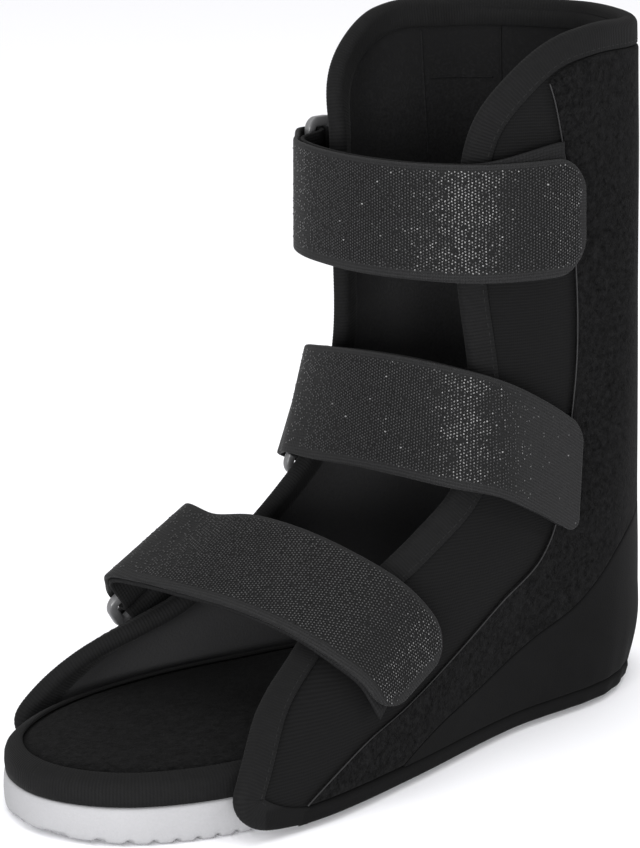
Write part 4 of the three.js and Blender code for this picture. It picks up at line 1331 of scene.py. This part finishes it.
def webbing_band(name, node, rails, ends, hooks_on):
    """A band with thickness: rows along both layers, columns across, rolled borders, rounded free corners."""
    radius, plain_end = ends[0], ends[-1]
    upper, lower, facing, turned = doubled(rails, *ends[1:-1])
    lengths = lengths_along((upper + lower) / 2)
    total = lengths[-1]
    body = np.linspace(0, total - radius, STRAP_ROWS if hooks_on else TAB_ROWS)
    corner = total - radius + radius * np.sin(np.linspace(0, np.pi / 2, CORNER_ROWS))[1:]
    at = np.concatenate([body, corner]) if radius else body
    up, low = at_lengths(upper, lengths, at), at_lengths(lower, lengths, at)
    out = unit(at_lengths(facing, lengths, at))
    wide = np.linalg.norm(low - up, axis=1)
    v, rim = rolled(BAND_COLUMNS, float(wide.mean()), STRAP_THICK / 2)
    into = np.clip(1 - (total - at) / radius, 0, 1) if radius else 0 * at
    share = 1 - 2 * radius * (1 - np.sqrt(1 - into**2)) / wide
    across = 0.5 + (v[None] - 0.5) * share[:, None]
    middle = up[:, None] + (low - up)[:, None] * across[..., None]
    ending = np.sqrt(1 - np.clip(1 - np.minimum(at, total - at) / (STRAP_THICK / 2), 0, 1) ** 2)
    half = STRAP_THICK / 2 * (BORDER_SHARE + (1 - BORDER_SHARE) * rim[None] * ending[:, None])
    front = middle + out[:, None] * half[..., None]
    back = middle - out[:, None] * half[..., None]
    quads, _ = sheet_faces(*across.shape)
    lay = np.stack(np.broadcast_arrays(at[:, None], wide[:, None] * across), axis=-1).reshape(-1, 2)
    points = np.concatenate([front.reshape(-1, 3), back.reshape(-1, 3)])
    stop_of_face = quads[:, 0] % across.size // across.shape[1]
    beneath = (at[stop_of_face] < lengths[turned]) | (not hooks_on)
    lay = np.tile(lay, (2, 1))
    made = piece(name, points, quads, [webbing, plain_webbing], node, lay, beneath)
    hooks = []
    if hooks_on:
        from_up, from_low = v * wide.mean() - UPPER_SELVAGE, (1 - v) * wide.mean() - LOWER_SELVAGE
        inside = smoothstep(np.minimum(from_up, from_low) / MM + 1)
        # painted shade: how grown the hook field is, kept as an attribute so that the webbing finish darkens
        # the ground among the hooks
        painted_hook_shade = grown_share(at, lengths[turned], total, plain_end)[:, None] * inside
        values = np.tile(painted_hook_shade.ravel(), 2).astype(np.float32)
        made.data.attributes.new("painted_hook_shade", "FLOAT", "POINT").data.foreach_set("value", values)
        hooks = [hook_field(name + "_hooks", at, up, low, out, share, lengths[turned], total, plain_end)]


print("turn radius", round(1000 * TURN_RADIUS, 2), "mm; straps", list(STRAPS))

# %% [markdown]
# ## Rings and tabs
# Each ring is a moulded plastic rectangle. A short webbing loop holds it to the right wall, and the strap
# turns round its other bar. A torus would be round, so a squarish section is carried round a rectangle with
# rounded corners instead. The tab is the same folded band as the strap, without hooks.

# %% Rings and tabs
RING_CORNER = 3.2 * MM
RING_CORNER_STOPS, RING_SIDES = 9, 16
SQUARISH = 0.6  # a power: 1 gives an oval section, less squares it


def ring_place(rails, tab):
    """Ways along the ring's bars, from the strap's bar to the tab's, and out; and the first bar's middle."""
    up, low = rails[-1, :3], rails[-1, 3:]
    lengthways = unit(low - up)
    towards = (tab[-1, :3] + tab[-1, 3:]) / 2 - (up + low) / 2
    across = unit(towards - lengthways * (towards @ lengthways))
    return lengthways, across, np.cross(lengthways, across), (up + low) / 2


def ring(name, node, rails, tab):
    """A bar with flat faces and rounded edges, carried round a rectangle with rounded corners."""
    lengthways, across, facing, middle = ring_place(rails, tab)
    long, wide = (RING_SLOT + RING_BAR) / 2, RING_SPAN / 2
    centres = np.array([[long, wide], [-long, wide], [-long, -wide], [long, -wide]])
    centres = centres - np.sign(centres) * RING_CORNER
    turns = np.linspace(0, np.pi / 2, RING_CORNER_STOPS) + np.arange(4)[:, None] * np.pi / 2
    bends = centres[:, None] + RING_CORNER * np.stack([np.cos(turns), np.sin(turns)], axis=-1)
    loop = bends.reshape(-1, 2)
    around = unit(np.roll(loop, -1, axis=0) - np.roll(loop, 1, axis=0))
    outward = np.stack([around[:, 1], -around[:, 0]], axis=1)
    angle = np.linspace(0, 2 * np.pi, RING_SIDES, endpoint=False)
    oval = np.stack([np.cos(angle), np.sin(angle)])
    aside, rise = RING_BAR / 2 * np.sign(oval) * np.abs(oval) ** SQUARISH
    flat = loop[:, None] + outward[:, None] * (RING_FLATNESS * aside)[None, :, None]
    flat = flat + (0, wide)
    deep = np.broadcast_to(rise, flat.shape[:2])
    points = middle + flat[..., :1] * lengthways + flat[..., 1:] * across + deep[..., None] * facing
    quads = grid_faces(len(loop), RING_SIDES, loop_rows=True, loop_columns=True)
    return piece(name, points, quads, [ring_plastic], node)


def tab_rails(rails, tab):
    """The tab's rails carried on to the ring's second bar."""
    _, across, _, _ = ring_place(rails, tab)
    end = rails[-1] + np.tile(across * RING_SPAN, 2)
    return np.concatenate([tab, end[None]])


for strap_name, rows in STRAPS.items():
    ends, rails, tab = (MM * np.array(part) for part in rows)
    webbing_band(f"{strap_name}_strap", f"strap_{strap_name}", rails, ends, hooks_on=True)
    folded = tab_rails(rails, tab)
    webbing_band(f"{strap_name}_ring_tab", f"ring_tab_{strap_name}", folded, 0 * ends, hooks_on=False)
    ring(f"{strap_name}_ring", f"ring_{strap_name}", rails, tab)

# %% [markdown]
# ## Stitches
# Lock stitches hold the tape down. Each is a short thread that dips at both ends, copied along a line. A
# texture would lie flat, and these are pulled into the tape, so that only the top of the thread stands out.

# %% Stitches
STITCH, STITCH_GAP, THREAD = 2.6 * MM, 0.9 * MM, 0.2 * MM  # length, space between two, radius of the thread
STITCH_INSET = 1.8 * MM  # from the tape's sewn border
THREAD_SIDES = 6
TAPE_TOP = GAP + 1.03 * TAPE_THICK  # of the tape's outer leg, where the stitches are


def stitch_form():
    """Rings of a thread that rises out of the cloth, lies on it and dips again: along, sideways, height."""
    rise = np.array([-0.5, 0.5, 0.8, 0.8, 0.5, -0.5])[:, None] * THREAD
    along = np.linspace(-0.5, 0.5, len(rise))[:, None] * STITCH
    angle = np.linspace(0, 2 * np.pi, THREAD_SIDES, endpoint=False)
    rings = np.broadcast_arrays(along, np.cos(angle) * THREAD, rise + np.sin(angle) * THREAD)
    caps = np.array([[0, 1, 2, 3], [0, 3, 4, 5]])
    last = (len(rise) - 1) * THREAD_SIDES
    tube = grid_faces(len(rise), THREAD_SIDES, loop_columns=True)
    faces = np.concatenate([tube, caps[:, ::-1], caps + last])
    return np.stack(rings, axis=-1).reshape(-1, 3), faces


def stitch_row(name, line, normals):
    """Copies of one stitch along a line of points with outward ways."""
    lengths = lengths_along(line)
    at = np.arange(STITCH, lengths[-1] - STITCH, STITCH + STITCH_GAP)
    here, normal = at_lengths(line, lengths, at), unit(at_lengths(normals, lengths, at))
    along = unit(at_lengths(np.gradient(line, axis=0), lengths, at))
    side = np.cross(normal, along)
    form, faces = stitch_form()
    points = here[:, None] + along[:, None] * form[:, 0, None] + side[:, None] * form[:, 1, None]
    points = points + normal[:, None] * form[:, 2, None]
    quads = (faces[None] + np.arange(len(at))[:, None, None] * len(form)).reshape(-1, 4)
    return piece(name, points, quads, [thread])


def binding_stitches():
    """One row along the outer leg of the edge's tape, above the hem."""
    stations, _ = edge_stations(2 * MM)
    stations = stations[stations[:, 1] > HEM_TOP]
    ways, _, normal, _ = inward_on_wall(stations)
    depth = np.array([TAPE_WIDTH - TUCK - STITCH_INSET])
    line = leg(stations, ways, depth, TAPE_TOP - THREAD)[:, 0]
    return stitch_row("binding_stitches", line, normal)


binding_stitches()
